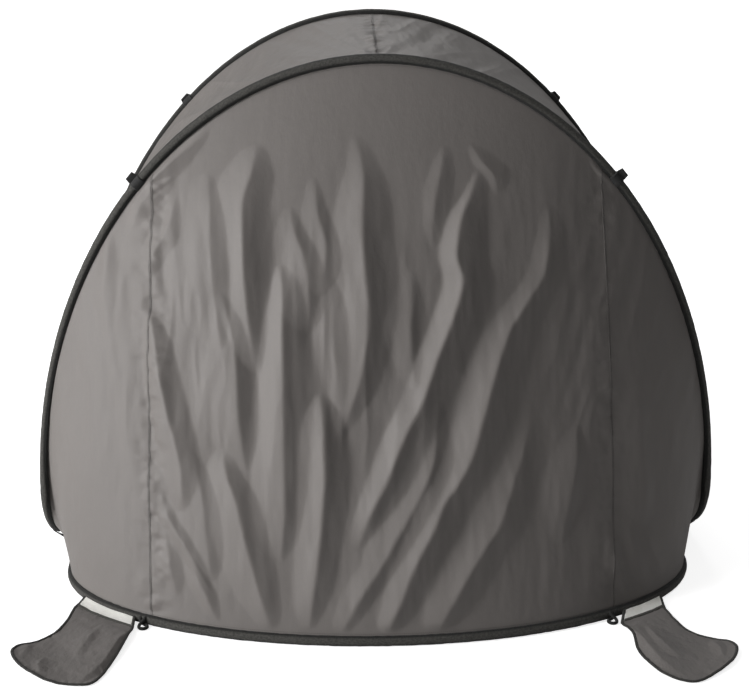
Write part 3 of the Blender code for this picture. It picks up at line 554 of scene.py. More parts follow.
# Each fold of the wall is read as (across, height, rise) down its crest, then the widths of
# its left flank at the top and the foot, and those of its right flank. Rises count in fold
# units, a little over a millimetre each.
WALL_FOLDS = (
    # left of the middle
    (((0.250, 0.96, 0), (0.262, 0.90, 12), (0.277, 0.85, 17), (0.278, 0.78, 20),
      (0.276, 0.70, 20), (0.270, 0.62, 16), (0.262, 0.56, 8), (0.255, 0.52, 0)),
     (0.08, 0.05), (0.060, 0.035)),
    (((0.208, 0.73, 0), (0.201, 0.68, 10), (0.200, 0.60, 18), (0.200, 0.50, 21),
      (0.200, 0.40, 20), (0.200, 0.30, 16), (0.204, 0.22, 9), (0.212, 0.16, 0)),
     (0.03, 0.09), (0.060, 0.045)),
    (((0.325, 0.67, 0), (0.306, 0.60, 10), (0.296, 0.52, 16), (0.293, 0.45, 16),
      (0.288, 0.39, 10), (0.280, 0.33, 0)),
     (0.07, 0.08), (0.035, 0.035)),
    (((0.126, 0.485, 0), (0.122, 0.44, 13), (0.120, 0.38, 20), (0.120, 0.30, 20),
      (0.128, 0.22, 17), (0.138, 0.14, 14), (0.148, 0.08, 9), (0.156, 0.03, 0)),
     (0.04, 0.06), (0.045, 0.045)),
    (((0.050, 0.98, 0), (0.036, 0.92, 6), (0.034, 0.87, 13), (0.037, 0.80, 18),
      (0.032, 0.72, 20), (0.030, 0.64, 20), (0.034, 0.57, 17), (0.050, 0.50, 12),
      (0.072, 0.44, 5), (0.086, 0.40, 0)),
     (0.06, 0.07), (0.070, 0.045)),
    (((0.186, 0.84, 0), (0.175, 0.79, 6), (0.158, 0.75, 9), (0.150, 0.70, 10),
      (0.148, 0.65, 9), (0.150, 0.60, 0)),
     (0.05, 0.06), (0.030, 0.030)),
    (((0.136, 0.90, 0), (0.128, 0.83, 6), (0.112, 0.77, 9), (0.114, 0.72, 8),
      (0.122, 0.67, 0)),
     (0.04, 0.04), (0.025, 0.025)),
    (((0.108, 0.71, 0), (0.100, 0.66, 5), (0.100, 0.60, 8), (0.095, 0.53, 6),
      (0.088, 0.46, 0)),
     (0.03, 0.04), (0.030, 0.030)),
    (((0.354, 0.90, 0), (0.348, 0.82, 9), (0.347, 0.75, 14), (0.342, 0.68, 13),
      (0.334, 0.61, 7), (0.328, 0.56, 0)),
     (0.10, 0.10), (0.035, 0.030)),
    # at the left seam and down to the hem
    (((0.480, 0.625, 0), (0.468, 0.58, 10), (0.460, 0.54, 13), (0.452, 0.49, 16),
      (0.438, 0.43, 17), (0.425, 0.38, 17), (0.414, 0.33, 14), (0.412, 0.28, 8),
      (0.416, 0.24, 0)),
     (0.030, 0.05), (0.035, 0.040)),
    (((0.388, 0.36, 0), (0.378, 0.31, 6), (0.368, 0.26, 10), (0.362, 0.20, 10),
      (0.358, 0.15, 8), (0.354, 0.11, 0)),
     (0.05, 0.05), (0.028, 0.028)),
    (((0.327, 0.37, 0), (0.318, 0.32, 10), (0.298, 0.27, 16), (0.282, 0.20, 17),
      (0.266, 0.14, 16), (0.252, 0.09, 12), (0.240, 0.05, 6), (0.234, 0.02, 0)),
     (0.06, 0.06), (0.040, 0.045)),
    (((0.462, 0.28, 0), (0.445, 0.23, 5), (0.420, 0.19, 8), (0.385, 0.14, 6),
      (0.358, 0.09, 0)),
     (0.025, 0.025), (0.020, 0.020)),
    (((0.402, 0.16, 0), (0.386, 0.12, 6), (0.365, 0.08, 8), (0.343, 0.03, 0)),
     (0.025, 0.025), (0.020, 0.020)),
    (((0.452, 0.20, 0), (0.443, 0.15, 5), (0.435, 0.11, 5), (0.428, 0.07, 0)),
     (0.025, 0.025), (0.020, 0.020)),
    # pulled cloth under the left of the arch
    (((0.365, 1.00, 0), (0.395, 0.967, 8), (0.430, 0.932, 12), (0.460, 0.90, 13),
      (0.485, 0.87, 10), (0.505, 0.845, 5), (0.522, 0.815, 0)),
     (0.030, 0.030), (0.050, 0.045)),
    (((0.425, 0.89, 0), (0.458, 0.865, 5), (0.480, 0.845, 6), (0.500, 0.82, 6),
      (0.514, 0.78, 0)),
     (0.022, 0.022), (0.028, 0.028)),
    (((0.422, 0.85, 0), (0.435, 0.80, 5), (0.450, 0.765, 8), (0.470, 0.73, 6),
      (0.481, 0.69, 0)),
     (0.030, 0.030), (0.030, 0.030)),
    (((0.565, 0.77, 0), (0.572, 0.70, 5), (0.578, 0.64, 5), (0.570, 0.56, 0)),
     (0.035, 0.035), (0.022, 0.022)),
    # right of the middle
    (((-0.060, 0.72, 0), (-0.060, 0.65, 6), (-0.057, 0.60, 9), (-0.060, 0.55, 5),
      (-0.062, 0.49, 0)),
     (0.050, 0.050), (0.030, 0.030)),
    (((-0.205, 0.91, 0), (-0.185, 0.86, 6), (-0.165, 0.82, 13), (-0.155, 0.77, 17),
      (-0.153, 0.74, 18), (-0.163, 0.70, 20), (-0.155, 0.66, 21), (-0.132, 0.60, 22),
      (-0.110, 0.55, 21), (-0.092, 0.50, 20), (-0.075, 0.46, 20), (-0.047, 0.41, 20),
      (-0.020, 0.35, 18), (0.002, 0.30, 16), (0.030, 0.25, 10), (0.054, 0.19, 0)),
     (0.030, 0.048), (0.075, 0.050)),
    (((-0.112, 0.47, 0), (-0.108, 0.41, 6), (-0.100, 0.35, 12), (-0.073, 0.29, 13),
      (-0.050, 0.25, 13), (-0.020, 0.20, 12), (0.010, 0.15, 10), (0.045, 0.10, 9),
      (0.075, 0.05, 5), (0.088, 0.02, 0)),
     (0.050, 0.050), (0.038, 0.035)),
    (((-0.352, 0.83, 0), (-0.350, 0.77, 5), (-0.335, 0.70, 9), (-0.300, 0.65, 12),
      (-0.262, 0.60, 16), (-0.240, 0.55, 18), (-0.222, 0.50, 20), (-0.200, 0.43, 21),
      (-0.178, 0.36, 21), (-0.150, 0.31, 21), (-0.120, 0.27, 20), (-0.098, 0.22, 20),
      (-0.072, 0.175, 18), (-0.050, 0.13, 17), (-0.030, 0.08, 13), (-0.012, 0.045, 8),
      (-0.004, 0.02, 0)),
     (0.060, 0.045), (0.080, 0.055)),
    (((-0.305, 0.46, 0), (-0.290, 0.38, 6), (-0.262, 0.30, 12), (-0.232, 0.22, 14),
      (-0.195, 0.17, 14), (-0.150, 0.10, 14), (-0.120, 0.05, 9), (-0.108, 0.02, 0)),
     (0.070, 0.060), (0.060, 0.050)),
    (((-0.402, 0.40, 0), (-0.400, 0.34, 8), (-0.392, 0.29, 10), (-0.380, 0.23, 6),
      (-0.368, 0.17, 0)),
     (0.060, 0.060), (0.030, 0.030)),
    (((-0.448, 0.925, 0), (-0.468, 0.898, 8), (-0.484, 0.88, 8), (-0.502, 0.855, 0)),
     (0.014, 0.014), (0.024, 0.024)),
    (((-0.188, 0.96, 0), (-0.210, 0.925, 4), (-0.235, 0.895, 4), (-0.242, 0.86, 0)),
     (0.016, 0.016), (0.035, 0.035)),
    (((-0.134, 0.96, 0), (-0.125, 0.91, 4), (-0.115, 0.87, 5), (-0.108, 0.82, 4),
      (-0.105, 0.76, 0)),
     (0.022, 0.022), (0.030, 0.030)),
    (((-0.482, 0.18, 0), (-0.485, 0.13, 5), (-0.495, 0.09, 5), (-0.512, 0.04, 0)),
     (0.022, 0.022), (0.020, 0.020)),
    (((-0.518, 0.18, 0), (-0.530, 0.12, 5), (-0.545, 0.08, 5), (-0.562, 0.04, 0)),
     (0.022, 0.022), (0.020, 0.020)),
    (((-0.550, 0.19, 0), (-0.570, 0.12, 5), (-0.590, 0.08, 5), (-0.604, 0.05, 0)),
     (0.022, 0.022), (0.020, 0.020)),
    (((-0.548, 0.46, 0), (-0.550, 0.36, 5), (-0.553, 0.28, 6), (-0.556, 0.22, 5),
      (-0.562, 0.17, 0)),
     (0.050, 0.050), (0.028, 0.028)),
)
FOLD_UNIT = 0.00106
CREST_ROUND = 0.0030
FOOT_ROUND = 0.08
# A fold runs out to a point: at its ends its width falls to this share of the full one.
TIP_WIDTH = 0.15
TIP_POWER = 0.8
# A flank is steepest at the crest and runs out softly, a little beyond its set width.
FLANK_HOLLOW = 0.18
FLANK_REACH = 1.08


def fold_height(x, z, crest, left, right):
    """How far one fold stands out, at points x across and z up.

    At each height the fold falls from its crest, over one width to the left and another to the
    right, and both widths shrink where the crest sinks. With s as the share of the flank that
    is left, the height follows (1 - k) s + k s^2. The crest and the feet are rounded a little:
    |d| becomes sqrt(d^2 + r^2) - r.
    """
    line = through(crest, 8)[::-1]
    middle = np.interp(z, line[:, 1], line[:, 0])
    rise = np.interp(z, line[:, 1], line[:, 2]).clip(0.0) * FOLD_UNIT
    top, foot = crest[0][1], crest[-1][1]
    down = ((top - z) / (top - foot)).clip(0.0, 1.0)
    to_left = x > middle
    width = np.where(to_left, left[0] + (left[1] - left[0]) * down,
                     right[0] + (right[1] - right[0]) * down)
    fullness = rise / (max(point[2] for point in crest) * FOLD_UNIT)
    width = width * (TIP_WIDTH + (1.0 - TIP_WIDTH) * fullness ** TIP_POWER)
    away = np.sqrt((x - middle) ** 2 + CREST_ROUND ** 2) - CREST_ROUND
    left_over = 1.0 - away / (FLANK_REACH * width)
    share = 0.5 * (left_over + np.sqrt(left_over ** 2 + FOOT_ROUND ** 2))
    return rise * share * (1.0 - FLANK_HOLLOW + FLANK_HOLLOW * share)


def pucker(distance, along, seed, reach, height, pitch):
    """Gathers beside a line of stitching: ripples across it that die away from it."""
    waves = ripple(along / pitch, distance / 0.03, seed, 2)
    return height * np.exp(-(distance / reach) ** 2) * waves


HELD_STATIONS = 2.0


def sewn_down(points, outward, height, stations, down, top_share, foot_share):
    """Points pushed out by a height that dies into the stitching at the sleeves and crossings."""
    down = np.asarray(down)[None, :]
    held = smooth(down / top_share) * smooth((1.0 - down) / foot_share)
    for from_crossing in (stations, LAST_STATION - stations):
        held = held * smooth(from_crossing / HELD_STATIONS)[:, None]
    return points + (height * held)[..., None] * outward


WAVE_HEIGHT = 0.0011
RUMPLE_HEIGHT = 0.0005
LESSER_CREASE = 0.0015
# Each wall seam with the seed and the height of its gathers.
SEAM_GATHERS = ((LEFT_SEAM, 21, 0.0030), (RIGHT_SEAM, 22, 0.0016))


def wall_surface(stations, down):
    """The rear wall with its folds, for every station and share of the way down."""
    points, outward = stretched("rear_arch", "rear_floor", stations, down, WALL_BULGE)
    x, z = points[..., 0], points[..., 2]
    height = sum(fold_height(x, z, *fold) for fold in WALL_FOLDS)
    slack = smooth((1.02 - z) / 0.30) * smooth(z / 0.10)
    height = height + slack * WAVE_HEIGHT * ripple(x / 0.045 + 9.0, z / 0.22 + 3.0, 5, 3)
    height = height + RUMPLE_HEIGHT * ripple(x / 0.018 + 5.0, z / 0.07 + 7.0, 11, 2) * slack
    # Lesser creases, sharp on top: 1 - 2|n| of a ripple n that leans on the right side.
    lean = (x + 0.35 * z * smooth(-x / 0.4)) / 0.050
    lesser = 1.0 - 2.0 * np.abs(ripple(lean + 17.0, z / 0.21 + 11.0, 13, 2))
    lesser = LESSER_CREASE * lesser * slack
    height = height + lesser * smooth((0.90 - z) / 0.2) * smooth((z - 0.1) / 0.4)
    for seam, seed, gathered in SEAM_GATHERS:
        seam_x = at(RUNS["rear_arch"], np.array([seam]))[0, 0]
        height = height + pucker(x - seam_x, z, seed, 0.030, gathered, 0.022)
    return sewn_down(points, outward, height, stations, down, 0.03, 0.02)


def cloth_panel(name, surface, stations, down, finish, slot, node):
    """One panel of cloth, from a surface of stations and shares down."""
    points = surface(stations, down)
    quads = grid_faces(len(stations), len(down))
    obj = make_mesh(name, points, quads, finish, cut_map(points))
    dress(obj, slot, node)


# How many points a panel has across and down.
WALL_GRID = (301, 321)
GORE_GRID = (131, 261)
ROOF_GRID = (401, 111)


def make_wall():
    """Rear wall: the wide centre panel and a gore at each side."""
    for name, node, first, last, (across_it, down_it) in (
            ("rear_wall_cloth", "rear_wall", LEFT_SEAM, RIGHT_SEAM, WALL_GRID),
            ("rear_gore_cloth_left", "rear_gore_left", 0.0, LEFT_SEAM, GORE_GRID),
            ("rear_gore_cloth_right", "rear_gore_right", RIGHT_SEAM, LAST_STATION, GORE_GRID)):
        cloth_panel(name, wall_surface, np.linspace(first, last, across_it),
                    np.linspace(0.0, 1.0, down_it), WALL_CLOTH, "wall_cloth", node)


# A lapped seam: its half width in stations, its rise over the cloth and how deep its edges sink.
SEAM_HALF = 0.075
SEAM_RISE = 0.0010
SEAM_SINK = 0.0006
SEAM_UNEVEN = 0.0003
SEAM_COLUMNS = 11
WALL_SEAM_ROWS = 601
ROOF_SEAM_ROWS = 241


def make_seam(name, surface, middle, rows, node):
    """A lapped seam on a surface: a low rounded strip along one station."""
    def strip(stations, down):
        points = surface(stations, down)
        outward = unit(np.cross(np.gradient(points, axis=1), np.gradient(points, axis=0)))
        share = (stations - middle)[:, None] / SEAM_HALF
        lap = SEAM_RISE * (1.0 - np.abs(share) ** 4) - SEAM_SINK
        uneven = SEAM_UNEVEN * ripple(np.asarray(down)[None, :] * 260.0, share * 2.0, 31)
        return points + (lap + uneven)[..., None] * outward

    cloth_panel(name, strip, np.linspace(middle - SEAM_HALF, middle + SEAM_HALF, SEAM_COLUMNS),
                np.linspace(0.0, 1.0, rows), SEAM_CLOTH_PAINTED_SHADE, "seam_tape", node)


def make_wall_seams():
    """The two lapped seams of the rear wall."""
    for side, station in (("left", LEFT_SEAM), ("right", RIGHT_SEAM)):
        make_seam(f"rear_seam_lap_{side}", wall_surface, station, WALL_SEAM_ROWS,
                  f"rear_seam_{side}")


ROOF_PULL = 0.0045
ROOF_SOFT_CREASE = 0.0012
ROOF_SHARP_CREASE = 0.0022
ROOF_GATHER = 0.0030


def roof_surface(stations, down):
    """The roof band with its sag, pulls towards the crossings and gathers along its seam."""
    points, outward = stretched("front_arch", "rear_arch", stations, down, -ROOF_SAG)
    x = points[..., 0]
    share = np.broadcast_to(np.asarray(down)[None, :], x.shape)
    side = np.abs(stations - MIDDLE)[:, None] / MIDDLE
    pulls = ROOF_PULL * smooth((side - 0.25) / 0.5) * ripple(share * 6.0, side * 3.0 + 8.0, 41, 2)
    # Slanting creases, sharp on top: 1 - 2|n| of a ripple n that is stretched along them.
    slant = x / 0.055 + share * 2.2 * np.sign(x)
    sharp = 1.0 - 2.0 * np.abs(ripple(slant + 14.0, share * 1.6 + side * 4.0, 47, 2))
    soft = ripple(x / 0.03 + 4.0, share * 5.0, 43, 3)
    creases = ROOF_SOFT_CREASE * soft + ROOF_SHARP_CREASE * sharp
    height = pulls + creases + pucker(x, share * 0.4, 45, 0.03, ROOF_GATHER, 0.02)
    return sewn_down(points, outward, height, stations, down, 0.06, 0.06)


def make_roof():
    """Roof band: two halves and the seam over the middle."""
    across_it, down_it = ROOF_GRID
    for side, first, last in (("left", 0.0, MIDDLE), ("right", MIDDLE, LAST_STATION)):
        cloth_panel(f"roof_cloth_{side}", roof_surface, np.linspace(first, last, across_it),
                    np.linspace(0.0, 1.0, down_it), WALL_CLOTH, "wall_cloth", f"roof_{side}")
    make_seam("roof_seam_lap", roof_surface, MIDDLE, ROOF_SEAM_ROWS, "roof_seam")


# Half the size of a sleeve's oval, towards its cloth and square to it.
SLEEVE_WIDE = 0.0105
SLEEVE_THICK = 0.0090
SLEEVE_STEPS = 900
SLEEVE_SIDES = 28
SLEEVE_GATHER = 0.035
FIRST_SLEEVE_SEED = 51


def make_sleeve(run_name, towards, seed):
    """A fabric sleeve round a hoop: a flattened oval, gathered a little along its length.

    Its width lies towards the cloth that is sewn to it.
    """
    path = spaced(RUNS[run_name], SLEEVE_STEPS)
    along = tangents(path)
    first = across(spaced(towards, SLEEVE_STEPS) - path, along)
    turn = full_turn(SLEEVE_SIDES)
    travelled = lengths(path, 0)[:, None]
    gather = 1.0 + SLEEVE_GATHER * ripple(travelled / 0.011, turn[None] * 1.3, seed, 2)
    seam = 1.0 - 0.10 * np.exp(-((np.cos(turn) - 0.80) / 0.06) ** 2)[None]
    profile = np.stack([SLEEVE_WIDE * np.cos(turn) * gather * seam,
                        SLEEVE_THICK * np.sin(turn) * gather * seam], axis=-1)
    rings = sweep(path, first, np.cross(along, first), profile)
    obj = loop_grid(f"{run_name}_cloth_sleeve", rings, SLEEVE_CLOTH, girth=SLEEVE_GIRTH)
    dress(obj, "hoop_sleeve", f"{run_name}_sleeve")


def make_sleeves():
    """The four lengths of sleeve, each with the line that its flat side points to."""
    inside_floor = RUNS["front_floor"] * (0.6, 0.3, 1.0)
    sleeves = (("rear_arch", RUNS["rear_floor"]), ("front_arch", RUNS["rear_arch"]),
               ("rear_floor", RUNS["rear_arch"]), ("front_floor", inside_floor))
    for seed, (run_name, towards) in enumerate(sleeves, FIRST_SLEEVE_SEED):
        make_sleeve(run_name, towards, seed)


STITCH_PITCH = 0.0042
STITCH_LENGTH = 0.0031
STITCH_RADIUS = 0.00038
STITCH_RINGS = 6
STITCH_SIDES = 5


def stitches(name, lines, slot, finish):
    """Rows of stitches: short rounded threads laid on lines of points with outward directions.

    Each stitch is a spindle. Its radius is the root of 1 - a^2 of the share a along it.
    """
    placed = []
    for points, outward in lines:
        travelled = lengths(points, 0)
        place = np.arange(STITCH_PITCH / 2, travelled[-1], STITCH_PITCH)
        placed.append([np.stack([np.interp(place, travelled, column) for column in rows.T], axis=1)
                       for rows in (points, tangents(points), outward)])
    centre, onward, outward = (np.vstack(rows) for rows in zip(*placed))
    onward = unit(onward)
    outward = across(outward, onward)
    sideways = np.cross(onward, outward)
    along = np.sin(np.linspace(-math.pi / 2, math.pi / 2, STITCH_RINGS))[None, :, None, None]
    turn = full_turn(STITCH_SIDES)[None, None, :, None]
    swell = STITCH_RADIUS * np.sqrt(1.0 - along ** 2)
    centre, onward, outward, sideways = (
        rows[:, None, None, :] for rows in (centre, onward, outward, sideways))
    points = (centre + along * STITCH_LENGTH / 2 * onward
              + swell * (np.cos(turn) * sideways + np.sin(turn) * outward))
    one = grid_faces(STITCH_RINGS, STITCH_SIDES, closed=True)
    quads = one[None] + STITCH_RINGS * STITCH_SIDES * np.arange(len(points))[:, None, None]
    obj = make_mesh(name, points, quads.reshape(-1, 4), finish)
    close_seams(obj)
    dress(obj, slot)


TAPE_WIDTH = 0.024
HEM_WIDTH = 0.007
GAP = 0.0004
BINDING_RADIUS = 0.0024
TAPE_FROM = SLEEVE_RADIUS + GAP
TAPE_TO = TAPE_FROM + TAPE_WIDTH
HEM_FROM = TAPE_TO + GAP
HEM_TO = HEM_FROM + HEM_WIDTH
POCKET_MOUTH_DEGREES = {"left": (23.8, 40.6), "right": (30.8, 42.3)}
POCKET_LEAN_DEGREES = {"left": 1.5, "right": 2.4}
POCKET_DEGREES = {"left": 35.0, "right": 36.8}
POCKET_MOUTH = 0.047
POCKET_OUTLINE = {
    "left": ((0.058, 0.088), (0.040, 0.141), (0.045, 0.195), (0.056, 0.228), (0.040, 0.259),
             (-0.010, 0.282), (-0.085, 0.288), (-0.145, 0.266), (-0.166, 0.235),
             (-0.140, 0.160), (-0.105, 0.088)),
    "right": ((0.008, 0.088), (-0.007, 0.141), (0.009, 0.192), (0.025, 0.225), (0.010, 0.256),
              (-0.040, 0.283), (-0.120, 0.293), (-0.160, 0.280), (-0.173, 0.225),
              (-0.150, 0.143), (-0.112, 0.088)),
}
# How high the tape, the hem and the cloth lie, by their distance from the floor edge.
POCKET_LIE = ((0.000, 0.0155), (0.0105, 0.0128), (0.020, 0.0104), (0.035, 0.0088),
              (0.060, 0.0086), (0.100, 0.0066), (0.140, 0.0044), (0.170, 0.0034),
              (0.260, 0.0034), (0.330, 0.0034))
# The toe begins along a slanting line and rises from there.
TOE_SLANT = (0.50, 0.87)
TOE_FROM = 0.182
TOE_LENGTH = 0.062
TOE_RISE = 0.0095
# Creases of the cloth, written as the wall's folds are: across is along the floor edge, and
# height is minus the distance from it.
POCKET_FOLDS = {
    "left": (
        (((-0.082, -0.045, 0), (-0.088, -0.060, 4), (-0.096, -0.095, 8), (-0.116, -0.140, 9),
          (-0.136, -0.190, 7), (-0.142, -0.230, 4), (-0.144, -0.262, 0)),
         (0.120, 0.130), (0.018, 0.018)),
        (((-0.028, -0.085, 0), (-0.034, -0.105, 3), (-0.046, -0.140, 4), (-0.060, -0.170, 3),
          (-0.070, -0.195, 0)), (0.040, 0.050), (0.014, 0.016)),
        (((-0.020, -0.225, 0), (-0.026, -0.240, 2), (-0.036, -0.258, 3), (-0.050, -0.272, 2),
          (-0.060, -0.282, 0)), (0.020, 0.020), (0.022, 0.022)),
        (((0.040, -0.205, 0), (0.036, -0.222, 2), (0.026, -0.240, 2), (0.012, -0.262, 0)),
         (0.012, 0.012), (0.014, 0.014)),
    ),
    "right": (
        (((-0.094, -0.045, 0), (-0.100, -0.060, 4), (-0.108, -0.100, 8), (-0.126, -0.145, 9),
          (-0.144, -0.195, 7), (-0.150, -0.235, 3), (-0.150, -0.262, 0)),
         (0.110, 0.120), (0.018, 0.018)),
        (((-0.072, -0.085, 0), (-0.080, -0.110, 3), (-0.092, -0.145, 4), (-0.104, -0.185, 3),
          (-0.110, -0.215, 0)), (0.030, 0.036), (0.012, 0.014)),
        (((0.000, -0.195, 0), (-0.006, -0.215, 3), (-0.018, -0.238, 3), (-0.034, -0.262, 0)),
         (0.014, 0.014), (0.018, 0.018)),
    ),
}


def edge_frame(degrees, side, edge=REAR_FLOOR):
    """A point on a floor edge, and the level directions along it and away from it."""
    angle = np.radians(np.asarray(degrees, float))
    y, half_width, reach = edge
    point = np.stack([half_width * np.cos(angle), y + reach * np.sin(angle)], axis=-1)
    away = unit(np.stack([np.cos(angle) / half_width, np.sin(angle) / reach], axis=-1))
    along = away[..., ::-1] * (1.0, -1.0)
    mirror = np.array([side, 1.0])
    return point * mirror, along * mirror, away * mirror


def beside_edge(side_name, share, distance):
    """Points off the rear floor edge, at shares of the way from the mouth's outer end."""
    low, high = POCKET_MOUTH_DEGREES[side_name]
    lean = POCKET_LEAN_DEGREES[side_name] * (distance - SLEEVE_RADIUS) / TAPE_WIDTH
    point, _, away = edge_frame(low + (high - low) * share + lean, SIDES[side_name])
    return point + np.asarray(distance + 0.0 * share)[..., None] * away


def off_edge(level):
    """How far a level point lies outside the rear floor edge, to first order."""
    y, half_width, reach = REAR_FLOOR
    scaled = (level - (0.0, y)) / (half_width, reach)
    radius = np.linalg.norm(scaled, axis=-1)
    return (radius - 1.0) * radius / np.linalg.norm(scaled / (half_width, reach), axis=-1)


def pocket_height(side_name, level):
    """Height of a pocket's cloth over the ground: its lie, the raised toe and the creases."""
    point, along, away = edge_frame(POCKET_DEGREES[side_name], SIDES[side_name])
    u, v = (level - point) @ along, (level - point) @ away
    lie = through(POCKET_LIE, 12)
    height = np.interp(off_edge(level), lie[:, 0], lie[:, 1])
    toe = ((u * TOE_SLANT[0] + v * TOE_SLANT[1] - TOE_FROM) / TOE_LENGTH).clip(0.0)
    height = height + TOE_RISE * toe ** 2 / (toe + 0.25)
    folds = sum(fold_height(u, -v, *fold) for fold in POCKET_FOLDS[side_name])
    beyond = smooth((off_edge(level) - HEM_TO) / 0.03)
    crumple = 0.0006 * ripple(u / 0.016 + 7.0, v / 0.022 + 5.0, 61, 3)
    return height + (folds + crumple) * beyond


def mouth_ends(side_name, distance):
    """Where the binding passes the outer and the inner end of the mouth, just clear of it."""
    ends = []
    for share, outward in ((0.0, SIDES[side_name]), (1.0, -SIDES[side_name])):
        point = beside_edge(side_name, share, distance)
        onward = unit(beside_edge(side_name, share, distance + TAPE_WIDTH) - point)
        sideways = outward * onward[::-1] * (1.0, -1.0)
        ends.append(point + (BINDING_RADIUS + 2 * GAP) * sideways)
    return ends


def pocket_outline(side_name):
    """The pocket's outline, from the outer corner of its mouth round to the inner one."""
    point, along, away = edge_frame(POCKET_DEGREES[side_name], SIDES[side_name])
    local = np.array(POCKET_OUTLINE[side_name])
    free = point + local[:, :1] * along + local[:, 1:] * away
    outer, inner = mouth_ends(side_name, POCKET_MOUTH)
    return through(np.vstack([outer, free, inner]), 24)


def inset(line, distance, centre):
    """A level line moved sideways, towards the side on which the centre lies."""
    sideways = tangents(line)[:, ::-1] * (1.0, -1.0)
    middle = len(line) // 2
    return line + distance * np.sign(sideways[middle] @ (centre - line[middle])) * sideways


UPWARDS = np.array((0.0, 0.0, 1.0))
POCKET_LAYER = 0.0015
POCKET_GATHER = 0.0007
POCKET_RIM_POINTS = 420
POCKET_RINGS = 66


def make_pocket_cloth(side_name):
    """The pocket: two layers of cloth from its centre out to its rim and back underneath."""
    outline = pocket_outline(side_name)
    rim = inset(outline, BINDING_RADIUS * 0.6, outline.mean(axis=0))
    mouth = beside_edge(side_name, np.linspace(1.0, 0.0, 60), HEM_TO - 2 * GAP)
    rim = spaced(np.vstack([rim, mouth, rim[:1]]), POCKET_RIM_POINTS)[:-1]
    centre = rim.mean(axis=0)
    out = np.sin(np.linspace(0.0, math.pi / 2, POCKET_RINGS))
    share = np.concatenate([out, out[-2::-1]])[:, None]
    above = np.concatenate([np.ones(POCKET_RINGS), -np.ones(POCKET_RINGS - 1)])[:, None]
    level = centre + share[..., None] * (rim - centre)
    along_rim = lengths(np.vstack([rim, rim[:1]]), 0)[:-1][None]
    inward = (1.0 - share) * np.linalg.norm(rim - centre, axis=-1)[None]
    height = pocket_height(side_name, level)
    height = height + pucker(inward, along_rim, 63, 0.010, POCKET_GATHER, 0.0075)
    height = height + above * POCKET_LAYER * np.sqrt(1.0 - share ** 6)
    points = np.concatenate([level, height[..., None]], axis=-1)
    obj = make_mesh(f"sand_pocket_cloth_{side_name}", points,
                    grid_faces(*height.shape, closed=True), POCKET_CLOTH, level)
    close_seams(obj)
    dress(obj, "pocket_cloth", f"sand_pocket_{side_name}")


BINDING_HALF_WIDTH = 0.0032
BINDING_HALF_THICK = 0.0019
BINDING_SIDES = 20
BINDING_STEPS = 560
BINDING_START = 0.0085
STITCHES_OVER_BINDING = 0.0020


def make_pocket_binding(side_name):
    """Binding round the pocket, with a row of dark stitches along its top."""
    outer, inner = mouth_ends(side_name, BINDING_START)
    level = spaced(np.vstack([outer, pocket_outline(side_name), inner]), BINDING_STEPS)
    path = np.column_stack([level, pocket_height(side_name, level)])
    along = tangents(path)
    upwards = np.broadcast_to(UPWARDS, path.shape)
    first = across(upwards, along)
    section = stadium(BINDING_HALF_WIDTH, BINDING_HALF_THICK, BINDING_SIDES)[:, ::-1]
    around = np.arange(BINDING_SIDES)[None] / 6.0
    fold = 1.0 + 0.06 * ripple(lengths(path, 0)[:, None] / 0.006, around, 65, 2)
    rings = sweep(path, first, np.cross(along, first), section[None] * fold[..., None])
    obj = loop_grid(f"pocket_edge_binding_{side_name}", rings, BINDING)
    dress(obj, "binding", f"pocket_binding_{side_name}")
    stitches(f"pocket_binding_stitches_{side_name}",
             [(path + STITCHES_OVER_BINDING * upwards, upwards)], "binding", DARK_THREAD)


# The strips over a pocket's mouth: where they start and end, their half thickness, the points
# round their section, their finish, slot and node, and their seed.
MOUTH_STRIPS = {
    "pocket_hem_fold": (HEM_FROM - 0.0006, HEM_TO + 0.0006, 0.0017, 40,
                        HEM_CLOTH, "binding", "pocket_hem", 67),
    "pocket_pile_tape": (TAPE_FROM - 0.0014, TAPE_TO + 0.0006, 0.0011, 110,
                         LOOP_TAPE, "tape", "pocket_tape", 68),
}
STRIP_STEPS = 330
NAP_HEIGHT = 0.00035
STRIP_WAVE = 0.0007


def make_pocket_strips(side_name):
    """Hem over the pocket's mouth, and the pale tape from there up to the sleeve."""
    share = np.linspace(0.0, 1.0, STRIP_STEPS)[:, None]
    for name, (start, end, thick, count, finish, slot, node, seed) in MOUTH_STRIPS.items():
        section = stadium((end - start) / 2, thick, count)
        distance = (start + end) / 2 + section[None, :, 0]
        level = beside_edge(side_name, share, distance)
        nap = ripple(share * 260.0, distance / 0.0008, seed, 2) * (section[:, 1] > 0)
        rise = pocket_height(side_name, level) + section[:, 1] + NAP_HEIGHT * nap
        rise = rise + STRIP_WAVE * ripple(share * 7.0, distance / 0.02, seed + 2)
        rings = np.concatenate([level, rise[..., None]], axis=-1)
        obj = loop_grid(f"{name}_{side_name}", rings, finish)
        dress(obj, slot, f"{node}_{side_name}")


def make_pockets():
    """The two sand pockets with their trim."""
    for side_name in SIDES:
        make_pocket_cloth(side_name)
        make_pocket_binding(side_name)
        make_pocket_strips(side_name)


PEG_LOOP_RADIUS = 0.0085
# The cord's radius that places the loops, and the one it is drawn with.
PEG_CORD_RADIUS = 0.0022
DRAWN_CORD_RADIUS = 0.0035
REAR_PEG_DEGREES = {"left": 44.2, "right": 46.8}
FRONT_PEG_DEGREES = 40.0
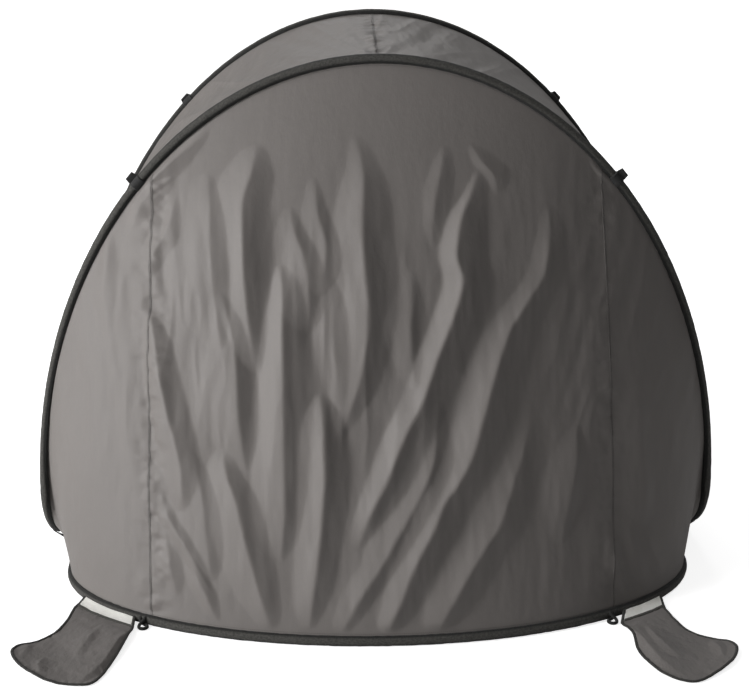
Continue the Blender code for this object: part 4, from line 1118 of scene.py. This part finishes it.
# The cord's way, as (along the edge, away from it, up) from the middle of the loop. Its two
# ends cross and go under the sleeve.
PEG_CORD_WAY = (
    (0.0170, -0.0200, 0.0150), (0.0160, -0.0150, 0.0145), (0.0135, -0.0105, 0.0110),
    (0.0090, -0.0085, 0.0070), (0.0030, -0.0092, 0.0042), (-0.0040, -0.0076, 0.0036),
    (-0.0082, -0.0028, 0.0036), (-0.0080, 0.0034, 0.0036), (-0.0042, 0.0076, 0.0036),
    (0.0012, 0.0088, 0.0036), (0.0064, 0.0060, 0.0040), (0.0086, 0.0006, 0.0062),
    (0.0070, -0.0050, 0.0100), (0.0040, -0.0105, 0.0140), (0.0050, -0.0155, 0.0160),
    (0.0070, -0.0200, 0.0150),
)
PEG_CORD_STEPS = 190
PEG_CORD_SIDES = 20
# The direction that the cord's rings are turned by, a little off the upright.
NEARLY_UPWARDS = (0.02, 0.03, 1.0)
BRAID_HEIGHT = 0.07
BRAID_TURNS = 2600.0


def make_peg_loop(name, node, centre, along, away):
    """A loop of round cord, sewn under the floor sleeve at both ends."""
    way = through(PEG_CORD_WAY, 14)
    level = centre + way[:, :1] * along + way[:, 1:2] * away
    path = spaced(np.column_stack([level, way[:, 2]]), PEG_CORD_STEPS)
    onward = tangents(path)
    first = across(np.broadcast_to(NEARLY_UPWARDS, path.shape), onward)
    turn = full_turn(PEG_CORD_SIDES)
    twist = lengths(path, 0)[:, None] * BRAID_TURNS
    braid = 1.0 + BRAID_HEIGHT * np.sin(turn * 4 + twist) * np.sin(turn * 4 - twist)
    section = np.stack([np.cos(turn), np.sin(turn)], axis=-1) * DRAWN_CORD_RADIUS
    rings = sweep(path, first, np.cross(onward, first), section * braid[..., None])
    dress(loop_grid(name, rings, PEG_CORD), "webbing", node)


def make_peg_loops():
    """Four peg loops, one towards each corner of the floor."""
    stand_off = SLEEVE_RADIUS + PEG_LOOP_RADIUS + PEG_CORD_RADIUS + GAP
    for side_name, side in SIDES.items():
        point, along, away = edge_frame(REAR_PEG_DEGREES[side_name], side)
        make_peg_loop(f"rear_peg_cord_{side_name}", f"rear_peg_loop_{side_name}",
                      point + stand_off * away, along, away)
        point, _, away = edge_frame(FRONT_PEG_DEGREES, side, FRONT_FLOOR)
        make_peg_loop(f"front_peg_cord_{side_name}", f"front_peg_loop_{side_name}",
                      point + stand_off * away, away[::-1] * (1.0, -1.0), away)


# Each arch's tabs: the angle from its top where they sit, and how far they stand out.
ARCH_TABS = (("rear", REAR_ARCH, 42.9, 0.014), ("front", FRONT_ARCH, 36.7, 0.006))
TAB_LENGTH = 0.026
# A stretch of arch that is sure to hold a cuff, to each side of its middle.
TAB_REACH_DEGREES = 3.0
WEBBING_THICK = 0.0008
BACKWARDS = np.array((0.0, 1.0, 0.0))
CUFF_STEPS = 60
CUFF_SIDES = 48
CUFF_PROUD = 0.0016
CUFF_UNEVEN = 0.0003


def make_cuff(name, path, out, sideways):
    """A cuff of webbing round the sleeve, its ends drawn in."""
    turn = full_turn(CUFF_SIDES)
    step = np.arange(CUFF_STEPS + 1)
    from_end = np.minimum(step, CUFF_STEPS - step)[:, None] / CUFF_STEPS
    proud = CUFF_PROUD * smooth(from_end / 0.05)
    proud = proud + CUFF_UNEVEN * ripple(from_end * 40.0, turn * 2.0, 71, 2)
    radius = SLEEVE_RADIUS + proud
    section = np.stack([radius * np.cos(turn), radius * np.sin(turn)], axis=-1)
    dress(loop_grid(name, sweep(path, out, sideways, section), WEBBING), "webbing")


# A folded tab: half the gap between its two legs, where they start inside the cuff, and the
# points along a leg and round the bend.
TAB_BEND = 0.0022
TAB_FOOT = 0.0085
TAB_LEG_POINTS = 40
TAB_BEND_POINTS = 24


def make_folded_tab(name, node, middle, out, along, height):
    """A short loop of webbing, folded over, that stands out from the cuff."""
    top = SLEEVE_RADIUS + 2 * GAP + height - TAB_BEND - WEBBING_THICK
    turn = np.linspace(0.0, math.pi, TAB_BEND_POINTS)[1:-1]
    leg = np.linspace(TAB_FOOT, top, TAB_LEG_POINTS)
    reach = np.concatenate([leg, top + TAB_BEND * np.sin(turn), leg[::-1]])
    apart = np.concatenate([np.full(TAB_LEG_POINTS, -TAB_BEND), -TAB_BEND * np.cos(turn),
                            np.full(TAB_LEG_POINTS, TAB_BEND)])
    squeeze = 0.55 + 0.45 * smooth((reach - SLEEVE_RADIUS) / (top - SLEEVE_RADIUS))
    line = middle + reach[:, None] * out + (apart * squeeze)[:, None] * BACKWARDS
    tapered = SLEEVE_RADIUS + 0.002
    width = 1.0 - 0.16 * smooth((reach - tapered) / (top + TAB_BEND - tapered))
    section = stadium(TAB_LENGTH / 2 - 0.001, WEBBING_THICK, 64)
    section = section[None] * np.stack([width, np.ones_like(width)], axis=-1)[:, None]
    first = np.broadcast_to(along, line.shape)
    rings = sweep(line, first, np.cross(tangents(line), first), section)
    dress(loop_grid(name, rings, WEBBING), "webbing", node)


def make_tab(arch, hoop, degrees, height, side_name):
    """One arch's tab at one side: its cuff and its folded loop."""
    side = SIDES[side_name]
    near = np.linspace(degrees - TAB_REACH_DEGREES, degrees + TAB_REACH_DEGREES, 200)
    path = spaced(arch_point(hoop, near, side), 600)
    travelled = lengths(path, 0)
    from_middle = travelled - travelled[len(path) // 2]
    path = spaced(path[np.abs(from_middle) < TAB_LENGTH / 2], CUFF_STEPS)
    onward = tangents(path)
    sideways = np.broadcast_to(BACKWARDS, path.shape)
    out = np.cross(sideways, onward) * -side
    make_cuff(f"{arch}_arch_cuff_{side_name}", path, out, sideways)
    middle = CUFF_STEPS // 2
    make_folded_tab(f"{arch}_arch_webbing_tab_{side_name}", f"{arch}_arch_tab_{side_name}",
                    path[middle], out[middle], onward[middle], height)


def make_tabs():
    """Tabs on both arches at both sides."""
    for side_name in SIDES:
        for arch_tab in ARCH_TABS:
            make_tab(*arch_tab, side_name)


BAND_LENGTH = 0.018
BAND_CLEAR = 0.0007


def make_crossing_bands():
    """A band of webbing round both sleeves where they cross.

    At each place across the band its loop runs round the two hoops as they lie there.
    """
    section = stadium(BAND_LENGTH / 2, WEBBING_THICK, 48)
    for side_name, end, further_in in (("left", 0, 4), ("right", -1, -5)):
        centres = []
        for name in ("rear_arch", "rear_floor"):
            here = RUNS[name][end]
            onward = RUNS[name][further_in] - here
            centres.append(here + section[:, :1] * (onward / onward[1]))
        outer, inner = centres
        apart = unit((outer - inner) * (1.0, 0.0, 1.0))
        square = np.cross(apart, BACKWARDS)
        radius = SLEEVE_RADIUS + BAND_CLEAR + WEBBING_THICK + section[:, 1:]
        turn = HALF_TURN[:, None, None]
        round_outer = outer + radius * (np.cos(turn) * apart + np.sin(turn) * square)
        round_inner = inner - radius * (np.cos(turn) * apart + np.sin(turn) * square)
        rings = np.concatenate([round_outer, round_inner, round_outer[:1]])
        obj = loop_grid(f"crossing_band_{side_name}", rings, WEBBING, capped=False)
        dress(obj, "webbing", f"crossing_tie_{side_name}")


FLOOR_GRID = (361, 181)
# How many stations of the run are left free beside each crossing.
FLOOR_MARGIN = 0.6
FLOOR_LIE = 0.0016
FLOOR_WAVE = 0.0010
FLOOR_CREASE = 0.0006
FLOOR_TURN_UP = 0.014


def make_groundsheet():
    """Floor cloth: it lies on the ground and turns up to the floor sleeves at its edges."""
    stations = np.linspace(FLOOR_MARGIN, LAST_STATION - FLOOR_MARGIN, FLOOR_GRID[0])
    share = np.linspace(0.0, 1.0, FLOOR_GRID[1])
    points, _ = stretched("front_floor", "rear_floor", stations, share, 0.0)
    width = np.linalg.norm(points[:, -1] - points[:, 0], axis=-1)[:, None]
    from_edge = np.minimum(share, 1.0 - share)[None] * width
    x, y = points[..., 0], points[..., 1]
    lie = FLOOR_LIE + FLOOR_WAVE * (1.0 + ripple(x / 0.12 + 20.0, y / 0.12 + 20.0, 81, 3))
    creases = FLOOR_CREASE * ripple(x / 0.030 + 9.0, y / 0.20 + 9.0, 83, 2)
    edge = np.exp(-(from_edge / FLOOR_TURN_UP) ** 2)
    points = points.copy()
    points[..., 2] = points[..., 2] * edge + (lie + creases) * (1.0 - edge)
    obj = make_mesh("groundsheet_cloth", points, grid_faces(*FLOOR_GRID)[:, ::-1], FLOOR_CLOTH,
                    points[..., :2])
    dress(obj, "groundsheet_cloth", "groundsheet")


# Where a seam's two rows of stitches run, as a share of its half width, and how far over it.
SEAM_ROW_SHARE = 0.62
STITCHES_OVER_SEAM = 0.0011
SEAM_STITCH_SHARES = np.linspace(0.012, 0.988, 700)


def seam_rows(surface, middle):
    """Two rows of stitches along a lapped seam, near its edges."""
    rows = []
    for share in (-SEAM_ROW_SHARE, SEAM_ROW_SHARE):
        beside = share + np.array([-0.1, 0.0, 0.1])
        grid = surface(middle + SEAM_HALF * beside, SEAM_STITCH_SHARES)
        outward = unit(np.cross(np.gradient(grid[1], axis=0), grid[2] - grid[0]))
        rows.append((grid[1] + STITCHES_OVER_SEAM * outward, outward))
    return rows


# The rows along the sleeves, with their surface and their share of the way down it.
EDGE_ROWS = {
    "rear_arch": (wall_surface, 0.0045),
    "rear_floor": (wall_surface, 0.9955),
    "roof_rear": (roof_surface, 0.985),
    "roof_front": (roof_surface, 0.015),
}
EDGE_ROW_STATIONS = np.linspace(0.8, LAST_STATION - 0.8, 1500)
STITCHES_OVER_CLOTH = 0.0003


def make_stitching():
    """Rows of stitches along the three lapped seams and along the sleeves."""
    for name, surface, station in (("rear_seam_stitches_left", wall_surface, LEFT_SEAM),
                                   ("rear_seam_stitches_right", wall_surface, RIGHT_SEAM),
                                   ("roof_seam_stitches", roof_surface, MIDDLE)):
        stitches(name, seam_rows(surface, station), "seam_tape", THREAD)
    for name, (surface, down) in EDGE_ROWS.items():
        grid = surface(EDGE_ROW_STATIONS, down + np.array([-0.0005, 0.0, 0.0005]))
        outward = unit(np.cross(grid[:, 2] - grid[:, 0], np.gradient(grid[:, 1], axis=0)))
        row = (grid[:, 1] + STITCHES_OVER_CLOTH * outward, outward)
        stitches(f"{name}_edge_stitches", [row], "wall_cloth", THREAD)


CAMERA_AWAY = 3.5
CAMERA_HEIGHT = 1.6
CAMERA_SIDE_DEGREES = 2.2
CAMERA_AIM_DEGREES = 2.15
CAMERA_DOWN_DEGREES = 17.92
LENS = 78.91
SENSOR_WIDTH = 36.0


def make_camera():
    """The camera at the photograph's place: behind the shelter, a little to the left."""
    camera = bpy.data.objects.new("camera", bpy.data.cameras.new("camera"))
    camera.data.lens = LENS
    camera.data.sensor_width = SENSOR_WIDTH
    side = math.radians(CAMERA_SIDE_DEGREES)
    camera.location = (CAMERA_AWAY * math.sin(side), CAMERA_AWAY * math.cos(side), CAMERA_HEIGHT)
    camera.rotation_euler = (math.radians(90.0 - CAMERA_DOWN_DEGREES), 0.0,
                             math.radians(180.0 - CAMERA_AIM_DEGREES))
    bpy.context.scene.collection.objects.link(camera)
    bpy.context.scene.camera = camera


WHITE = (1.0, 1.0, 1.0, 1.0)
BLACK = (0.0, 0.0, 0.0, 1.0)
FLOOR_GREY = (0.86, 0.86, 0.86, 1.0)
FLOOR_REACH = 40.0
FLOOR_DROP = 0.0005
# The floor's own glow: from the first value near the object to the second one far from it.
FLOOR_GLOW = (0.78, 1.0)
FLOOR_GLOW_DISTANCES = (1.2, 7.0)
SURROUND_LIGHT = 0.12
# The main lights stand at the left, a little behind the shelter.
SOFTBOX_AIM = (0.0, 0.1, 0.5)
SOFTBOX_SIZE = 3.0
SOFTBOXES = (
    ("side_softbox_low", (7.35, 2.78, 2.16), 455.0),
    ("side_softbox_high", (6.16, 2.34, 5.09), 206.0),
    ("top_softbox", (4.0, 0.1, 7.43), 60.0),
    ("front_softbox", (0.0, -6.0, 5.5), 89.0),
    ("front_corner_softbox", (-5.0, -4.0, 5.0), 71.0),
)


def make_softboxes():
    """Square soft lights that all look at one point."""
    for name, place, power in SOFTBOXES:
        data = bpy.data.lights.new(name, "AREA")
        data.size = SOFTBOX_SIZE
        data.energy = power
        obj = bpy.data.objects.new(name, data)
        obj.location = place
        towards = Vector(SOFTBOX_AIM) - Vector(place)
        obj.rotation_euler = towards.to_track_quat("-Z", "Y").to_euler()
        bpy.context.scene.collection.objects.link(obj)


def make_surround():
    """An even surround: seen directly it is white, and as a light it is dim."""
    world = bpy.data.worlds.new("surround")
    world.use_nodes = True
    tree = world.node_tree
    background = tree.nodes["Background"]
    background.inputs["Color"].default_value = WHITE
    seen = tree.nodes.new("ShaderNodeLightPath")
    strength = tree.nodes.new("ShaderNodeMapRange")
    strength.inputs["To Min"].default_value = SURROUND_LIGHT
    tree.links.new(seen.outputs["Is Camera Ray"], strength.inputs["Value"])
    tree.links.new(strength.outputs["Result"], background.inputs["Strength"])
    bpy.context.scene.world = world


def make_floor():
    """A pale floor that shades off into the white surround."""
    corners = np.array([(-1, -1, 0), (1, -1, 0), (1, 1, 0), (-1, 1, 0)]) * FLOOR_REACH
    finish = Finish("pale_floor", roughness=0.9, base_color=FLOOR_GREY, emission_strength=1.0)
    seen = finish.node("ShaderNodeLightPath")
    away = finish.node("ShaderNodeVectorMath", {"operation": "LENGTH"}, {0: finish.place()},
                       output=1)
    glow = seen * away.span(*FLOOR_GLOW_DISTANCES, *FLOOR_GLOW)
    finish.set(emission_color=finish.blend(glow, BLACK, WHITE))
    floor = make_mesh("studio_floor", corners - (0, 0, FLOOR_DROP), [[0, 1, 2, 3]],
                      finish.material)


def make_stage():
    """Surround, lights and floor, seen without any toning of the colours."""
    make_surround()
    make_softboxes()
    make_floor()
    bpy.context.scene.view_settings.view_transform = "Standard"


make_camera()
make_stage()
make_sleeves()
make_wall()
make_wall_seams()
make_roof()
make_pockets()
make_peg_loops()
make_tabs()
make_crossing_bands()
make_groundsheet()
make_stitching()
